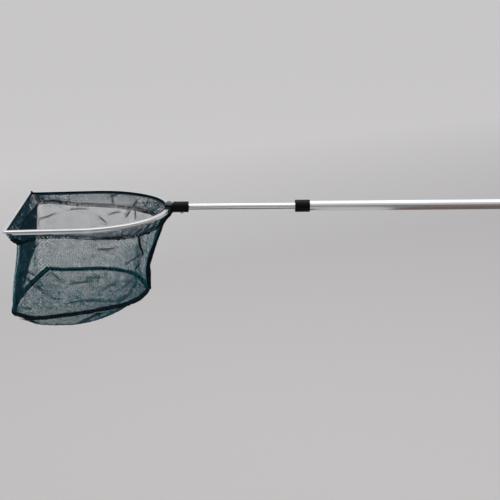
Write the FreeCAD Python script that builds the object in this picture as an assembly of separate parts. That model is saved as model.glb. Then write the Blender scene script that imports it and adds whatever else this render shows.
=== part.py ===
import FreeCAD, Part
import math
import os
from dataclasses import dataclass, replace

from FreeCAD import Vector

# Deep bag net on a two stage twist-lock pole, in millimetres.
# X runs along the pole from the net to the handle's end, Z is up and Y goes across.
# The origin is the middle of the grip, on the pole's axis.

# Fits
PRESS_GAP = 0.03          # radial gap between pieces that are pressed or glued together
PIN_INSET = 0.2           # how far a cross pin's ends lie below the tube's surface
RUNNING_GAP = 0.08        # radial gap of pieces that turn or slide in each other
SEAT_GAP = 0.15           # gap round the hoop where the hub clamps it
SCREW_GAP = 0.1           # radial gap of a screw or pin in its hole
SOFT_GAP = 0.3            # gap between the fabric and what it lies against

# Grip and the end of the handle
GRIP_LENGTH = 150.0
GRIP_DIAMETER = 32.0
GRIP_GROOVE_DEPTH = 1.2
GRIP_GROOVE_WIDTH = 2.5
GRIP_GROOVE_PITCH = 6.0
GRIP_GROOVES_PER_END = 3
GRIP_EDGE_ROUND = 2.0
CAP_FLANGE_DIAMETER = 30.0
CAP_FLANGE_THICKNESS = 6.0
CAP_PLUG_LENGTH = 28.0
CAP_BORE_DIAMETER = 14.0
LUG_THICKNESS = 10.0
LUG_WIDTH = 20.0
HANGING_HOLE_DIAMETER = 9.0
HANGING_HOLE_REACH = 12.0      # from the cap's flange to the hole's axis
CAP_PIN_DIAMETER = 3.0
CAP_PIN_INSET = 14.0

# Outer tube, its collar and the bush that guides the inner tube
OUTER_TUBE_DIAMETER = 25.0
OUTER_TUBE_WALL = 1.2
OUTER_TUBE_LENGTH = 800.0
COLLAR_DIAMETER = 29.0
COLLAR_LENGTH = 35.0
COLLAR_NOSE = 7.0
COLLAR_NOSE_CLEARANCE = 0.5
COLLAR_CHAMFER = 1.2
BUSH_LENGTH = 26.0
BUSH_FLANGE = 2.0

# Inner tube and the cam lock on its rear end
INNER_TUBE_DIAMETER = 16.0
INNER_TUBE_WALL = 1.0
INNER_TUBE_LENGTH = 700.0
EXPOSED_LENGTH = 250.0         # inner tube that shows between hub and collar at rest
CAM_PLUG_LENGTH = 24.0
CAM_FLANGE_DIAMETER = 18.0
CAM_FLANGE_THICKNESS = 3.0
CAM_OFFSET = 1.5
CAM_DIAMETER = 8.0
LOCK_RING_LENGTH = 18.0
LOCK_RING_SLOT = 2.0
LOCK_RING_END_PLAY = 0.2
RETAINER_DIAMETER = 16.0
RETAINER_THICKNESS = 2.5
CAM_SCREW_DIAMETER = 3.0
CAM_SCREW_LENGTH = 14.0
CAM_SCREW_HEAD_DIAMETER = 6.0
CAM_SCREW_HEAD_HEIGHT = 2.0
CAM_PIN_DIAMETER = 3.0

# Hub between the pole and the hoop
SLEEVE_DIAMETER = 25.6
SLEEVE_LENGTH = 36.0
SLEEVE_ROUND = 1.0
SOCKET_DEPTH = 32.0
LINER_WALL = 1.1
LINER_SLIT = 1.5
NIB_REACH = 1.8
NIB_HEIGHT = 2.8
NIB_THICKNESS = 2.0
NIB_RISE = 3.0
BOSS_DIAMETER = 18.7
BOSS_OVERHANG = 3.0            # how far the boss reaches over the net's side of the hoop
NECK_LENGTH = 0.8              # gap between the boss and the sleeve that only the neck bridges
BOSS_TOP = 9.0
BOSS_BOTTOM = 14.0
NECK_DIAMETER = 17.5
CAP_DOME_HEIGHT = 5.2
BOLT_DIAMETER = 4.0
BOLT_HEAD_DIAMETER = 7.5
BOLT_HEAD_HEIGHT = 2.6
NUT_ACROSS_FLATS = 7.0
NUT_HEIGHT = 3.2
BOTTOM_SCREW_DIAMETER = 3.5
BOTTOM_SCREW_HEAD_DIAMETER = 7.0
BOTTOM_SCREW_HEAD_HEIGHT = 2.0
BOTTOM_SCREW_INSET = 16.0

# Hoop: an aluminium channel bent to a D, open to the inside
HOOP_INSIDE_LENGTH = 345.0
HOOP_INSIDE_HALF_WIDTH = 160.0
HOOP_STRAIGHT_LENGTH = 159.0
HOOP_ROUNDNESS = 0.875
HOOP_CORNER_RADIUS = 2.0       # of the inside edge at the two front corners
HOOP_DROOP_DEGREES = 1.03      # the front bar hangs this much lower than the pole's line
HOOP_TOP_RISE = 1.5            # top of the hoop above the pole's axis, at the hub
RAIL_DEPTH = 10.0
RAIL_HEIGHT = 9.0
RAIL_WALL = 1.4
RAIL_LIP = 0.9
RAIL_OUTER_ROUND = 2.4
RAIL_GROOVE_DROP = 2.9         # from the rail's top to the groove round its outside
RAIL_GROOVE_WIDTH = 2.0
RAIL_GROOVE_DEPTH = 0.9
NOTCH_LENGTH = 14.0            # the lower flange is cut away round the front corners
NOTCH_SPREAD = 4.0
RAIL_SPLIT = 0.4
JOINER_HALF_LENGTH = 18.0
JOINER_GAP = 0.2
ROPE_DIAMETER = 6.0
ROPE_END_GAP = 1.0

# Bag: outlines at the hem's seam, half way down and at the bottom seam
HEM_DROP = 30.0
HEM_THICKNESS = 1.6
HEM_INSET_FRONT = 20.0
HEM_INSET_SIDE = 25.0
HEM_INSET_REAR = 9.0
HEM_TUCK = 1.0                 # how far the hem reaches into the channel
MESH_THICKNESS = 1.2
BAG_MIDDLE_DROP = 127.0
BAG_SEAM_DROP = 202.0
BAG_MIDDLE_FRONT = 343.0
BAG_MIDDLE_REAR = 53.0
BAG_MIDDLE_LEFT = 144.0
BAG_MIDDLE_RIGHT = 142.0
BAG_MIDDLE_CORNER = 35.0
BAG_SEAM_FRONT = 356.0
BAG_SEAM_REAR = 55.0
BAG_SEAM_LEFT = 154.0
BAG_SEAM_RIGHT = 150.0
BAG_SEAM_CORNER = 60.0
BAG_LEFT_CORNER = 12.0
BAG_ROUNDNESS = 0.7
BAG_LEFT_STRAIGHT_END = 165.0
BAG_RIGHT_STRAIGHT_END = 190.0
BAG_SAG = 36.0
NET_OPENING = 22.0             # side of the square openings, many times the real mesh
NET_BAR = 3.0                  # net left between two openings
NET_BORDER = 6.0               # net left whole along a seam
NET_SIDE_REAR = 106.0          # the openings in the sides end here, short of the rear arc
SAG_STEPS = ((0.8, 0.55), (0.55, 0.86), (0.25, 1.0))    # share of the outline, share of the sag
SEAM_TAPE_HEIGHT = 6.0
SEAM_TAPE_OUTSIDE = 4.0
SEAM_TAPE_INSIDE = 2.0
REAR_SEAM_WIDTH = 11.0
REAR_SEAM_THICKNESS = 3.0

# Places along the pole that follow from the sizes above
GRIP_REAR = GRIP_LENGTH / 2
OUTER_TUBE_FRONT = GRIP_REAR - OUTER_TUBE_LENGTH
COLLAR_FRONT = OUTER_TUBE_FRONT - COLLAR_NOSE
SLEEVE_REAR = COLLAR_FRONT - EXPOSED_LENGTH
SLEEVE_FRONT = SLEEVE_REAR - SLEEVE_LENGTH
BOSS_X = SLEEVE_FRONT - NECK_LENGTH - BOSS_DIAMETER / 2
HOOP_X = BOSS_X - BOSS_DIAMETER / 2 + BOSS_OVERHANG
INNER_TUBE_FRONT = SLEEVE_REAR - SOCKET_DEPTH
INNER_TUBE_REAR = INNER_TUBE_FRONT + INNER_TUBE_LENGTH
OUTER_TUBE_BORE = OUTER_TUBE_DIAMETER / 2 - OUTER_TUBE_WALL
INNER_TUBE_BORE = INNER_TUBE_DIAMETER / 2 - INNER_TUBE_WALL

X_AXIS = Vector(1, 0, 0)
Y_AXIS = Vector(0, 1, 0)
Z_AXIS = Vector(0, 0, 1)
CUT_MARGIN = 1.0               # how far a cutting tool runs past the face that it cuts
LEAST_CORNER = 0.5             # radius that a shrunk outline keeps at its front corners


def rod(radius, start, end, y=0.0, z=0.0):
    """Round bar along X from start to end."""
    return Part.makeCylinder(radius, end - start, Vector(start, y, z), X_AXIS)


def post(radius, x, bottom, top):
    """Round bar along Z at x, on the pole's middle plane."""
    return Part.makeCylinder(radius, top - bottom, Vector(x, 0, bottom), Z_AXIS)


def cross_pin(radius, x, half_length):
    """Round bar along Y through the pole's axis at x."""
    return Part.makeCylinder(radius, 2 * half_length, Vector(x, -half_length, 0), Y_AXIS)


def block(low, high):
    """Box from its lowest to its highest corner."""
    size = Vector(*high) - Vector(*low)
    return Part.makeBox(size.x, size.y, size.z, Vector(*low))


def tube(outer_radius, inner_radius, start, end):
    """Tube along X."""
    bore = rod(inner_radius, start - CUT_MARGIN, end + CUT_MARGIN)
    return rod(outer_radius, start, end).cut(bore)


def round_rims(solid, radius, places):
    """Fillet the full circles that lie at the given places along X and are largest there."""
    picked = []
    for place in places:
        rims = [edge for edge in solid.Edges if is_rim(edge, place)]
        picked.append(max(rims, key=lambda edge: edge.Curve.Radius))
    return solid.makeFillet(radius, picked)


def is_rim(edge, place):
    """True for a circle about X at the given place."""
    if not isinstance(edge.Curve, Part.Circle):
        return False
    centred = math.hypot(edge.Curve.Center.y, edge.Curve.Center.z) < 1e-6
    return centred and abs(edge.Curve.Center.x - place) < 1e-6


def arc(centre, start, end):
    """Edge of the circle about centre from start to end, the short way."""
    towards = (start - centre) + (end - centre)
    middle = centre + towards.normalize() * (start - centre).Length
    return Part.Arc(start, middle, end).toShape()


@dataclass(frozen=True)
class Side:
    """One side of a D outline: its half width, where it starts to turn and its front corner."""
    half_width: float
    straight_end: float
    corner: float

    def grown(self, by):
        corner = max(self.corner + by, LEAST_CORNER)
        return Side(self.half_width + by, self.straight_end, corner)

    def scaled(self, factor, middle):
        end = middle + (self.straight_end - middle) * factor
        return Side(self.half_width * factor, end, self.corner * factor)


@dataclass(frozen=True)
class Outline:
    """A D in plan: a front bar, two straight sides, and two arcs a side that meet at the rear."""
    front: float
    rear: float
    left: Side
    right: Side
    roundness: float

    def grown(self, by):
        """The same outline moved outwards everywhere; its arcs keep their centres."""
        return replace(self, front=self.front - by, rear=self.rear + by,
                       left=self.left.grown(by), right=self.right.grown(by))

    def scaled(self, factor):
        """The same outline made smaller about the middle of its length."""
        middle = (self.front + self.rear) / 2
        return replace(self, front=middle + (self.front - middle) * factor,
                       rear=middle + (self.rear - middle) * factor,
                       left=self.left.scaled(factor, middle), right=self.right.scaled(factor, middle))


def turn_radii(run, half_width, roundness):
    """Radii of the side arc and the rear arc that join smoothly over a quarter turn.

    The tighter one is a share of the shorter reach, and the other follows from it.
    """
    if run > half_width:
        rear = roundness * half_width
        side = ((run - rear) ** 2 + half_width ** 2 - rear ** 2) / (2 * (half_width - rear))
    else:
        side = roundness * run
        rear = ((half_width - side) ** 2 + run ** 2 - side ** 2) / (2 * (run - side))
    return side, rear


def turn(outline, base, side, sign, height):
    """The straight side, the side arc and the rear arc of one side, from front to rear.

    The radii come from the outline before it was grown, so that grown arcs keep their centres.
    """
    grown = outline.rear - base.rear
    side_radius, rear_radius = turn_radii(base.rear - side.straight_end, side.half_width - grown,
                                          base.roundness)
    side_radius += grown
    rear_radius += grown
    side_centre = Vector(side.straight_end, sign * (side.half_width - side_radius), height)
    rear_centre = Vector(outline.rear - rear_radius, 0, height)
    join = side_centre + (rear_centre - side_centre) * (side_radius / (side_radius - rear_radius))
    first = Vector(outline.front + side.corner, sign * side.half_width, height)
    bend = Vector(side.straight_end, sign * side.half_width, height)
    last = Vector(outline.rear, 0, height)
    return [(first, bend, None), (bend, join, side_centre), (join, last, rear_centre)]


def spans_of(base, by, height):
    """Lines and arcs of an outline grown by a distance, as (start, end, centre or None).

    They run round it in order, seen from above against the clock, from the left front corner.
    """
    outline = base.grown(by)
    left = turn(outline, base, outline.left, -1, height)
    right = turn(outline, base, outline.right, 1, height)
    spans = left + [(end, start, centre) for start, end, centre in reversed(right)]
    left_corner = outline.left.corner
    right_corner = outline.right.corner
    right_centre = Vector(outline.front + right_corner, outline.right.half_width - right_corner, height)
    left_centre = Vector(outline.front + left_corner, left_corner - outline.left.half_width, height)
    front_right = Vector(outline.front, right_centre.y, height)
    front_left = Vector(outline.front, left_centre.y, height)
    spans.append((spans[-1][1], front_right, right_centre))
    spans.append((front_right, front_left, None))
    spans.append((front_left, spans[0][0], left_centre))
    return spans


def edges_of(base, by, height):
    """Edges of an outline grown by a distance, in order round it."""
    edges = []
    for start, end, centre in spans_of(base, by, height):
        edge = Part.LineSegment(start, end).toShape() if centre is None else arc(centre, start, end)
        edges.append(edge)
    return edges


def carried(base, section):
    """Solid of a section carried round an outline.

    The section is a function that draws a closed wire from a place and the outward direction there.
    Each line of the outline extrudes it, and each arc turns it about the arc's centre.
    """
    pieces = []
    for start, end, centre in spans_of(base, 0, 0):
        if centre is None:
            way = end - start
            outward = Vector(way.y, -way.x, 0).normalize()
            pieces.append(Part.Face(section(start, outward)).extrude(way))
        else:
            outward = (start - centre).normalize()
            angle = math.degrees(outward.getAngle(end - centre))
            pieces.append(Part.Face(section(start, outward)).revolve(centre, Z_AXIS, angle))
    return pieces[0].fuse(pieces[1:]).removeSplitter()


def band(outside, inside):
    """Flat face between two closed rows of edges."""
    return Part.makeFace([Part.Wire(outside), Part.Wire(inside)], "Part::FaceMakerBullseye")


def flat_ring(base, inner, outer, bottom, top):
    """Ring of constant height between the outline grown by inner and by outer."""
    face = band(edges_of(base, outer, bottom), edges_of(base, inner, bottom))
    return face.extrude(Vector(0, 0, top - bottom))


def skin(rows):
    """Ruled faces from each row of edges to the next."""
    faces = []
    for upper, lower in zip(rows, rows[1:]):
        faces += [Part.makeRuledSurface(first, second) for first, second in zip(upper, lower)]
    return faces


def closed_solid(faces):
    """Solid inside faces that close on each other."""
    shell = Part.makeShell(faces)
    shell.sewShape()
    solid = Part.makeSolid(shell)
    if solid.Volume < 0:
        solid.reverse()
    return solid


def fabric_ring(levels, thickness):
    """Sheet that hangs round the bag through (outline, grown by, height), open at both ends."""
    outside = [edges_of(base, by, height) for base, by, height in levels]
    inside = [edges_of(base, by - thickness, height) for base, by, height in levels]
    ends = [band(outside[row], inside[row]) for row in (0, -1)]
    return closed_solid(skin(outside) + skin(inside) + ends)


def fabric_dish(levels, thickness):
    """Sagging sheet through (outline, height), open upwards, with a flat middle."""
    outside = [edges_of(base, 0, height) for base, height in levels]
    inside = [edges_of(levels[0][0], -thickness, levels[0][1])]
    inside += [edges_of(base, -thickness, height + thickness) for base, height in levels[1:]]
    rim = band(outside[0], inside[0])
    floors = [Part.Face(Part.Wire(rows[-1])) for rows in (outside, inside)]
    return closed_solid(skin(outside) + skin(inside) + [rim] + floors)


def hung(shape):
    """Take a shape from the hoop's own frame to its place at the hub, with its droop.

    In the hoop's frame X is 0 at the hub end of the inside edge and Z is 0 at the rail's top.
    """
    placed = shape.copy()
    placed.rotate(Vector(0, 0, 0), Y_AXIS, -HOOP_DROOP_DEGREES)
    placed.translate(Vector(HOOP_X, 0, HOOP_TOP_RISE))
    return placed


def seat(solid, *takers):
    """Cut several solids out of one."""
    for taker in takers:
        solid = solid.cut(taker)
    return solid


HOOP = Outline(-HOOP_INSIDE_LENGTH, 0.0,
               Side(HOOP_INSIDE_HALF_WIDTH, HOOP_STRAIGHT_LENGTH - HOOP_INSIDE_LENGTH, HOOP_CORNER_RADIUS),
               Side(HOOP_INSIDE_HALF_WIDTH, HOOP_STRAIGHT_LENGTH - HOOP_INSIDE_LENGTH, HOOP_CORNER_RADIUS),
               HOOP_ROUNDNESS)
HEM_SIDE = Side(HOOP_INSIDE_HALF_WIDTH - HEM_INSET_SIDE, -BAG_LEFT_STRAIGHT_END, BAG_LEFT_CORNER)
HEM_SEAM = Outline(HEM_INSET_FRONT - HOOP_INSIDE_LENGTH, -HEM_INSET_REAR, HEM_SIDE, HEM_SIDE, BAG_ROUNDNESS)
BAG_MIDDLE = Outline(-BAG_MIDDLE_FRONT, -BAG_MIDDLE_REAR,
                     Side(BAG_MIDDLE_LEFT, -BAG_LEFT_STRAIGHT_END, BAG_LEFT_CORNER),
                     Side(BAG_MIDDLE_RIGHT, -BAG_RIGHT_STRAIGHT_END, BAG_MIDDLE_CORNER), BAG_ROUNDNESS)
BAG_SEAM = Outline(-BAG_SEAM_FRONT, -BAG_SEAM_REAR,
                   Side(BAG_SEAM_LEFT, -BAG_LEFT_STRAIGHT_END, BAG_LEFT_CORNER),
                   Side(BAG_SEAM_RIGHT, -BAG_RIGHT_STRAIGHT_END, BAG_SEAM_CORNER), BAG_ROUNDNESS)
BOSS_FLOOR = -BOSS_BOTTOM - HOOP_TOP_RISE       # the boss's underside in the hoop's frame


def outer_tube():
    solid = tube(OUTER_TUBE_DIAMETER / 2, OUTER_TUBE_BORE, OUTER_TUBE_FRONT, GRIP_REAR)
    return seat(solid, cap_pin_hole())


def cap_pin_hole():
    return cross_pin(CAP_PIN_DIAMETER / 2 + SCREW_GAP, GRIP_REAR - CAP_PIN_INSET, OUTER_TUBE_DIAMETER)


def grip():
    solid = tube(GRIP_DIAMETER / 2, OUTER_TUBE_DIAMETER / 2 + PRESS_GAP, -GRIP_REAR, GRIP_REAR)
    solid = round_rims(solid, GRIP_EDGE_ROUND, (-GRIP_REAR, GRIP_REAR))
    for index in range(GRIP_GROOVES_PER_END):
        start = GRIP_REAR - (index + 1) * GRIP_GROOVE_PITCH - GRIP_GROOVE_WIDTH
        floor = GRIP_DIAMETER / 2 - GRIP_GROOVE_DEPTH
        groove = tube(GRIP_DIAMETER / 2 + CUT_MARGIN, floor, start, start + GRIP_GROOVE_WIDTH)
        solid = seat(solid, groove, groove.mirror(Vector(0, 0, 0), X_AXIS))
    return solid


def end_cap():
    flange_rear = GRIP_REAR + CAP_FLANGE_THICKNESS
    plug = rod(OUTER_TUBE_BORE - PRESS_GAP, GRIP_REAR - CAP_PLUG_LENGTH, GRIP_REAR + CUT_MARGIN)
    flange = rod(CAP_FLANGE_DIAMETER / 2, GRIP_REAR, flange_rear)
    flange = round_rims(flange, GRIP_EDGE_ROUND, (flange_rear,))
    eye_x = flange_rear + HANGING_HOLE_REACH
    eye = Part.makeCylinder(LUG_WIDTH / 2, LUG_THICKNESS, Vector(eye_x, -LUG_THICKNESS / 2, 0), Y_AXIS)
    web = block((flange_rear - CUT_MARGIN, -LUG_THICKNESS / 2, -LUG_WIDTH / 2),
                (eye_x, LUG_THICKNESS / 2, LUG_WIDTH / 2))
    solid = plug.fuse([flange, eye, web]).removeSplitter()
    hollow = rod(CAP_BORE_DIAMETER / 2, GRIP_REAR - CAP_PLUG_LENGTH - CUT_MARGIN, GRIP_REAR - CUT_MARGIN)
    hole = cross_pin(HANGING_HOLE_DIAMETER / 2, eye_x, LUG_THICKNESS)
    return seat(solid, hollow, hole, cap_pin_hole())


def end_cap_pin():
    return cross_pin(CAP_PIN_DIAMETER / 2, GRIP_REAR - CAP_PIN_INSET, OUTER_TUBE_DIAMETER / 2 - PIN_INSET)


def pole_collar():
    rear = COLLAR_FRONT + COLLAR_LENGTH
    solid = rod(COLLAR_DIAMETER / 2, COLLAR_FRONT, rear)
    rims = [edge for edge in solid.Edges if is_rim(edge, COLLAR_FRONT) or is_rim(edge, rear)]
    solid = solid.makeChamfer(COLLAR_CHAMFER, rims)
    seat_start = OUTER_TUBE_FRONT - BUSH_FLANGE
    socket = rod(OUTER_TUBE_DIAMETER / 2 + PRESS_GAP, seat_start, rear + CUT_MARGIN)
    mouth_radius = INNER_TUBE_DIAMETER / 2 + COLLAR_NOSE_CLEARANCE
    mouth = rod(mouth_radius, COLLAR_FRONT - CUT_MARGIN, seat_start + CUT_MARGIN)
    return seat(solid, socket, mouth)


def guide_bush():
    flange = rod(OUTER_TUBE_DIAMETER / 2, OUTER_TUBE_FRONT - BUSH_FLANGE, OUTER_TUBE_FRONT)
    body = rod(OUTER_TUBE_BORE - PRESS_GAP, OUTER_TUBE_FRONT, OUTER_TUBE_FRONT + BUSH_LENGTH)
    bore_start = OUTER_TUBE_FRONT - BUSH_FLANGE - CUT_MARGIN
    bore_end = OUTER_TUBE_FRONT + BUSH_LENGTH + CUT_MARGIN
    bore = rod(INNER_TUBE_DIAMETER / 2 + RUNNING_GAP, bore_start, bore_end)
    return flange.fuse(body).removeSplitter().cut(bore)


def bottom_screw_hole():
    x = SLEEVE_REAR - BOTTOM_SCREW_INSET
    return post(BOTTOM_SCREW_DIAMETER / 2 + SCREW_GAP, x, -SLEEVE_DIAMETER, 0)


def cam_pin_hole():
    x = INNER_TUBE_REAR - CAM_PLUG_LENGTH / 2
    return cross_pin(CAM_PIN_DIAMETER / 2 + SCREW_GAP, x, INNER_TUBE_DIAMETER)


def inner_tube():
    solid = tube(INNER_TUBE_DIAMETER / 2, INNER_TUBE_BORE, INNER_TUBE_FRONT, INNER_TUBE_REAR)
    return seat(solid, bottom_screw_hole(), cam_pin_hole())


def cam_plug():
    flange_rear = INNER_TUBE_REAR + CAM_FLANGE_THICKNESS
    spindle_rear = flange_rear + LOCK_RING_LENGTH + 2 * LOCK_RING_END_PLAY
    plug = rod(INNER_TUBE_BORE - PRESS_GAP, INNER_TUBE_REAR - CAM_PLUG_LENGTH, INNER_TUBE_REAR + CUT_MARGIN)
    flange = rod(CAM_FLANGE_DIAMETER / 2, INNER_TUBE_REAR, flange_rear)
    spindle = rod(CAM_DIAMETER / 2, flange_rear - CUT_MARGIN, spindle_rear, z=CAM_OFFSET)
    solid = plug.fuse([flange, spindle]).removeSplitter()
    screw_start = spindle_rear - CAM_SCREW_LENGTH + RETAINER_THICKNESS - CUT_MARGIN
    screw_hole = rod(CAM_SCREW_DIAMETER / 2 + PRESS_GAP, screw_start, spindle_rear + CUT_MARGIN, z=CAM_OFFSET)
    return seat(solid, screw_hole, cam_pin_hole())


def cam_pin():
    x = INNER_TUBE_REAR - CAM_PLUG_LENGTH / 2
    return cross_pin(CAM_PIN_DIAMETER / 2, x, INNER_TUBE_DIAMETER / 2 - PIN_INSET)


def lock_ring():
    start = INNER_TUBE_REAR + CAM_FLANGE_THICKNESS + LOCK_RING_END_PLAY
    end = start + LOCK_RING_LENGTH
    outer_radius = OUTER_TUBE_BORE - RUNNING_GAP
    bore_radius = CAM_OFFSET + CAM_DIAMETER / 2 + RUNNING_GAP
    solid = tube(outer_radius, bore_radius, start, end)
    slot = block((start - CUT_MARGIN, -LOCK_RING_SLOT / 2, -outer_radius - CUT_MARGIN),
                 (end + CUT_MARGIN, LOCK_RING_SLOT / 2, 0))
    return solid.cut(slot)


def retainer_start():
    return INNER_TUBE_REAR + CAM_FLANGE_THICKNESS + LOCK_RING_LENGTH + 2 * LOCK_RING_END_PLAY


def cam_retainer():
    start = retainer_start()
    end = start + RETAINER_THICKNESS
    hole = rod(CAM_SCREW_DIAMETER / 2 + SCREW_GAP, start - CUT_MARGIN, end + CUT_MARGIN, z=CAM_OFFSET)
    return rod(RETAINER_DIAMETER / 2, start, end).cut(hole)


def cam_screw():
    seat_x = retainer_start() + RETAINER_THICKNESS
    shank = rod(CAM_SCREW_DIAMETER / 2, seat_x - CAM_SCREW_LENGTH, seat_x + CUT_MARGIN, z=CAM_OFFSET)
    head = rod(CAM_SCREW_HEAD_DIAMETER / 2, seat_x, seat_x + CAM_SCREW_HEAD_HEIGHT, z=CAM_OFFSET)
    return shank.fuse(head).removeSplitter()


def socket_radius():
    return INNER_TUBE_DIAMETER / 2 + PRESS_GAP + LINER_WALL


def socket_liner():
    """Split plastic liner between the inner tube and the hub's sleeve, with a nib at its mouth."""
    solid = tube(socket_radius(), INNER_TUBE_DIAMETER / 2 + PRESS_GAP, INNER_TUBE_FRONT, SLEEVE_REAR)
    nib = block((SLEEVE_REAR - LINER_WALL, -socket_radius() - NIB_THICKNESS, NIB_RISE - NIB_HEIGHT / 2),
                (SLEEVE_REAR + NIB_REACH, 0, NIB_RISE + NIB_HEIGHT / 2))
    past_mouth = rod(SLEEVE_DIAMETER, SLEEVE_REAR, SLEEVE_REAR + NIB_REACH)
    solid = solid.fuse(nib.common(past_mouth))
    solid = solid.fuse(nib.common(rod(socket_radius(), SLEEVE_REAR - LINER_WALL, SLEEVE_REAR)))
    bore = rod(INNER_TUBE_DIAMETER / 2 + PRESS_GAP, INNER_TUBE_FRONT, SLEEVE_REAR + NIB_REACH + CUT_MARGIN)
    slit = block((INNER_TUBE_FRONT - CUT_MARGIN, -LINER_SLIT / 2, 0),
                 (SLEEVE_REAR + CUT_MARGIN, LINER_SLIT / 2, SLEEVE_DIAMETER))
    return seat(solid, bore, slit, bottom_screw_hole()).removeSplitter()


def rail_envelope(gap):
    """Space that the rail takes in the hub, with a gap round it."""
    return hung(flat_ring(HOOP, -gap, RAIL_DEPTH + gap, -RAIL_HEIGHT - gap, gap))


def bolt_hole():
    return post(BOLT_DIAMETER / 2 + SCREW_GAP, BOSS_X, -BOSS_BOTTOM - CUT_MARGIN, BOSS_TOP + CUT_MARGIN)


def hexagon(across_flats, x, bottom, top):
    """Six sided prism along Z."""
    corner = across_flats / math.sqrt(3)
    points = [Vector(x + corner * math.cos(math.radians(60 * turn_index)),
                     corner * math.sin(math.radians(60 * turn_index)), bottom) for turn_index in range(7)]
    return Part.Face(Part.makePolygon(points)).extrude(Vector(0, 0, top - bottom))


def hub_body():
    """Boss that clamps the hoop's ends, a neck, and the sleeve that takes the inner tube."""
    boss = post(BOSS_DIAMETER / 2, BOSS_X, -BOSS_BOTTOM, BOSS_TOP)
    neck = rod(NECK_DIAMETER / 2, BOSS_X, SLEEVE_FRONT + CUT_MARGIN)
    sleeve = rod(SLEEVE_DIAMETER / 2, SLEEVE_FRONT, SLEEVE_REAR)
    sleeve = round_rims(sleeve, SLEEVE_ROUND, (SLEEVE_FRONT, SLEEVE_REAR))
    solid = boss.fuse([neck, sleeve]).removeSplitter()
    socket = rod(socket_radius() + PRESS_GAP, INNER_TUBE_FRONT, SLEEVE_REAR + CUT_MARGIN)
    relief_x = HOOP_X + RAIL_WALL
    relief = block((HOOP_X - BOSS_DIAMETER, -BOSS_DIAMETER, -2 * BOSS_BOTTOM),
                   (relief_x, BOSS_DIAMETER, HOOP_TOP_RISE - RAIL_WALL))
    nut_pocket = hexagon(NUT_ACROSS_FLATS + 2 * SCREW_GAP, BOSS_X, -BOSS_BOTTOM - CUT_MARGIN,
                         NUT_HEIGHT - BOSS_BOTTOM)
    return seat(solid, socket, rail_envelope(SEAT_GAP), relief, bolt_hole(), nut_pocket, bottom_screw_hole())


def hub_cap():
    """Domed cover over the bolt's head."""
    radius = BOSS_DIAMETER / 2
    ball_radius = (radius ** 2 + CAP_DOME_HEIGHT ** 2) / (2 * CAP_DOME_HEIGHT)
    ball = Part.makeSphere(ball_radius, Vector(BOSS_X, 0, BOSS_TOP + CAP_DOME_HEIGHT - ball_radius))
    dome = post(radius, BOSS_X, BOSS_TOP, BOSS_TOP + CAP_DOME_HEIGHT).common(ball)
    hollow_top = BOSS_TOP + BOLT_HEAD_HEIGHT + SCREW_GAP
    hollow = post(BOLT_HEAD_DIAMETER / 2 + SCREW_GAP, BOSS_X, BOSS_TOP - CUT_MARGIN, hollow_top)
    return dome.cut(hollow)


def hub_bolt():
    shank = post(BOLT_DIAMETER / 2, BOSS_X, -BOSS_BOTTOM, BOSS_TOP + CUT_MARGIN)
    head = post(BOLT_HEAD_DIAMETER / 2, BOSS_X, BOSS_TOP, BOSS_TOP + BOLT_HEAD_HEIGHT)
    return shank.fuse(head).removeSplitter()


def hub_nut():
    nut = hexagon(NUT_ACROSS_FLATS, BOSS_X, -BOSS_BOTTOM, NUT_HEIGHT - BOSS_BOTTOM)
    return nut.cut(post(BOLT_DIAMETER / 2 + PRESS_GAP, BOSS_X, -2 * BOSS_BOTTOM, 0))


def sleeve_screw():
    """Screw from below that holds the inner tube in the sleeve."""
    x = SLEEVE_REAR - BOTTOM_SCREW_INSET
    seat_z = -SLEEVE_DIAMETER / 2
    shank = post(BOTTOM_SCREW_DIAMETER / 2, x, seat_z - CUT_MARGIN, -INNER_TUBE_BORE + CUT_MARGIN)
    head = post(BOTTOM_SCREW_HEAD_DIAMETER / 2, x, seat_z - BOTTOM_SCREW_HEAD_HEIGHT, seat_z)
    return shank.fuse(head).removeSplitter()


def rail_section(place, outward):
    """Channel with rounded outer corners, a groove outside and two lips at its opening inside."""
    def at(depth, drop):
        return place + outward * depth - Z_AXIS * drop
    bevel = RAIL_OUTER_ROUND * (1 - math.sqrt(0.5))
    near = RAIL_DEPTH - RAIL_OUTER_ROUND
    low = RAIL_HEIGHT - RAIL_OUTER_ROUND
    web = RAIL_DEPTH - RAIL_WALL
    lip = RAIL_WALL + RAIL_LIP
    groove_floor = RAIL_DEPTH - RAIL_GROOVE_DEPTH
    groove_end = RAIL_GROOVE_DROP + RAIL_GROOVE_WIDTH
    top_round = Part.Arc(at(near, 0), at(RAIL_DEPTH - bevel, bevel), at(RAIL_DEPTH, RAIL_OUTER_ROUND))
    low_round = Part.Arc(at(RAIL_DEPTH, low), at(RAIL_DEPTH - bevel, RAIL_HEIGHT - bevel),
                         at(near, RAIL_HEIGHT))
    outside = Part.makePolygon([at(RAIL_DEPTH, RAIL_OUTER_ROUND), at(RAIL_DEPTH, RAIL_GROOVE_DROP),
                                at(groove_floor, RAIL_GROOVE_DROP), at(groove_floor, groove_end),
                                at(RAIL_DEPTH, groove_end), at(RAIL_DEPTH, low)])
    inside = Part.makePolygon([at(near, RAIL_HEIGHT), at(0, RAIL_HEIGHT), at(0, RAIL_HEIGHT - lip),
                               at(RAIL_WALL, RAIL_HEIGHT - lip), at(RAIL_WALL, RAIL_HEIGHT - RAIL_WALL),
                               at(web, RAIL_HEIGHT - RAIL_WALL), at(web, RAIL_WALL),
                               at(RAIL_WALL, RAIL_WALL), at(RAIL_WALL, lip), at(0, lip), at(0, 0),
                               at(near, 0)])
    return Part.Wire([top_round.toShape()] + outside.Edges + [low_round.toShape()] + inside.Edges)


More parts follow.
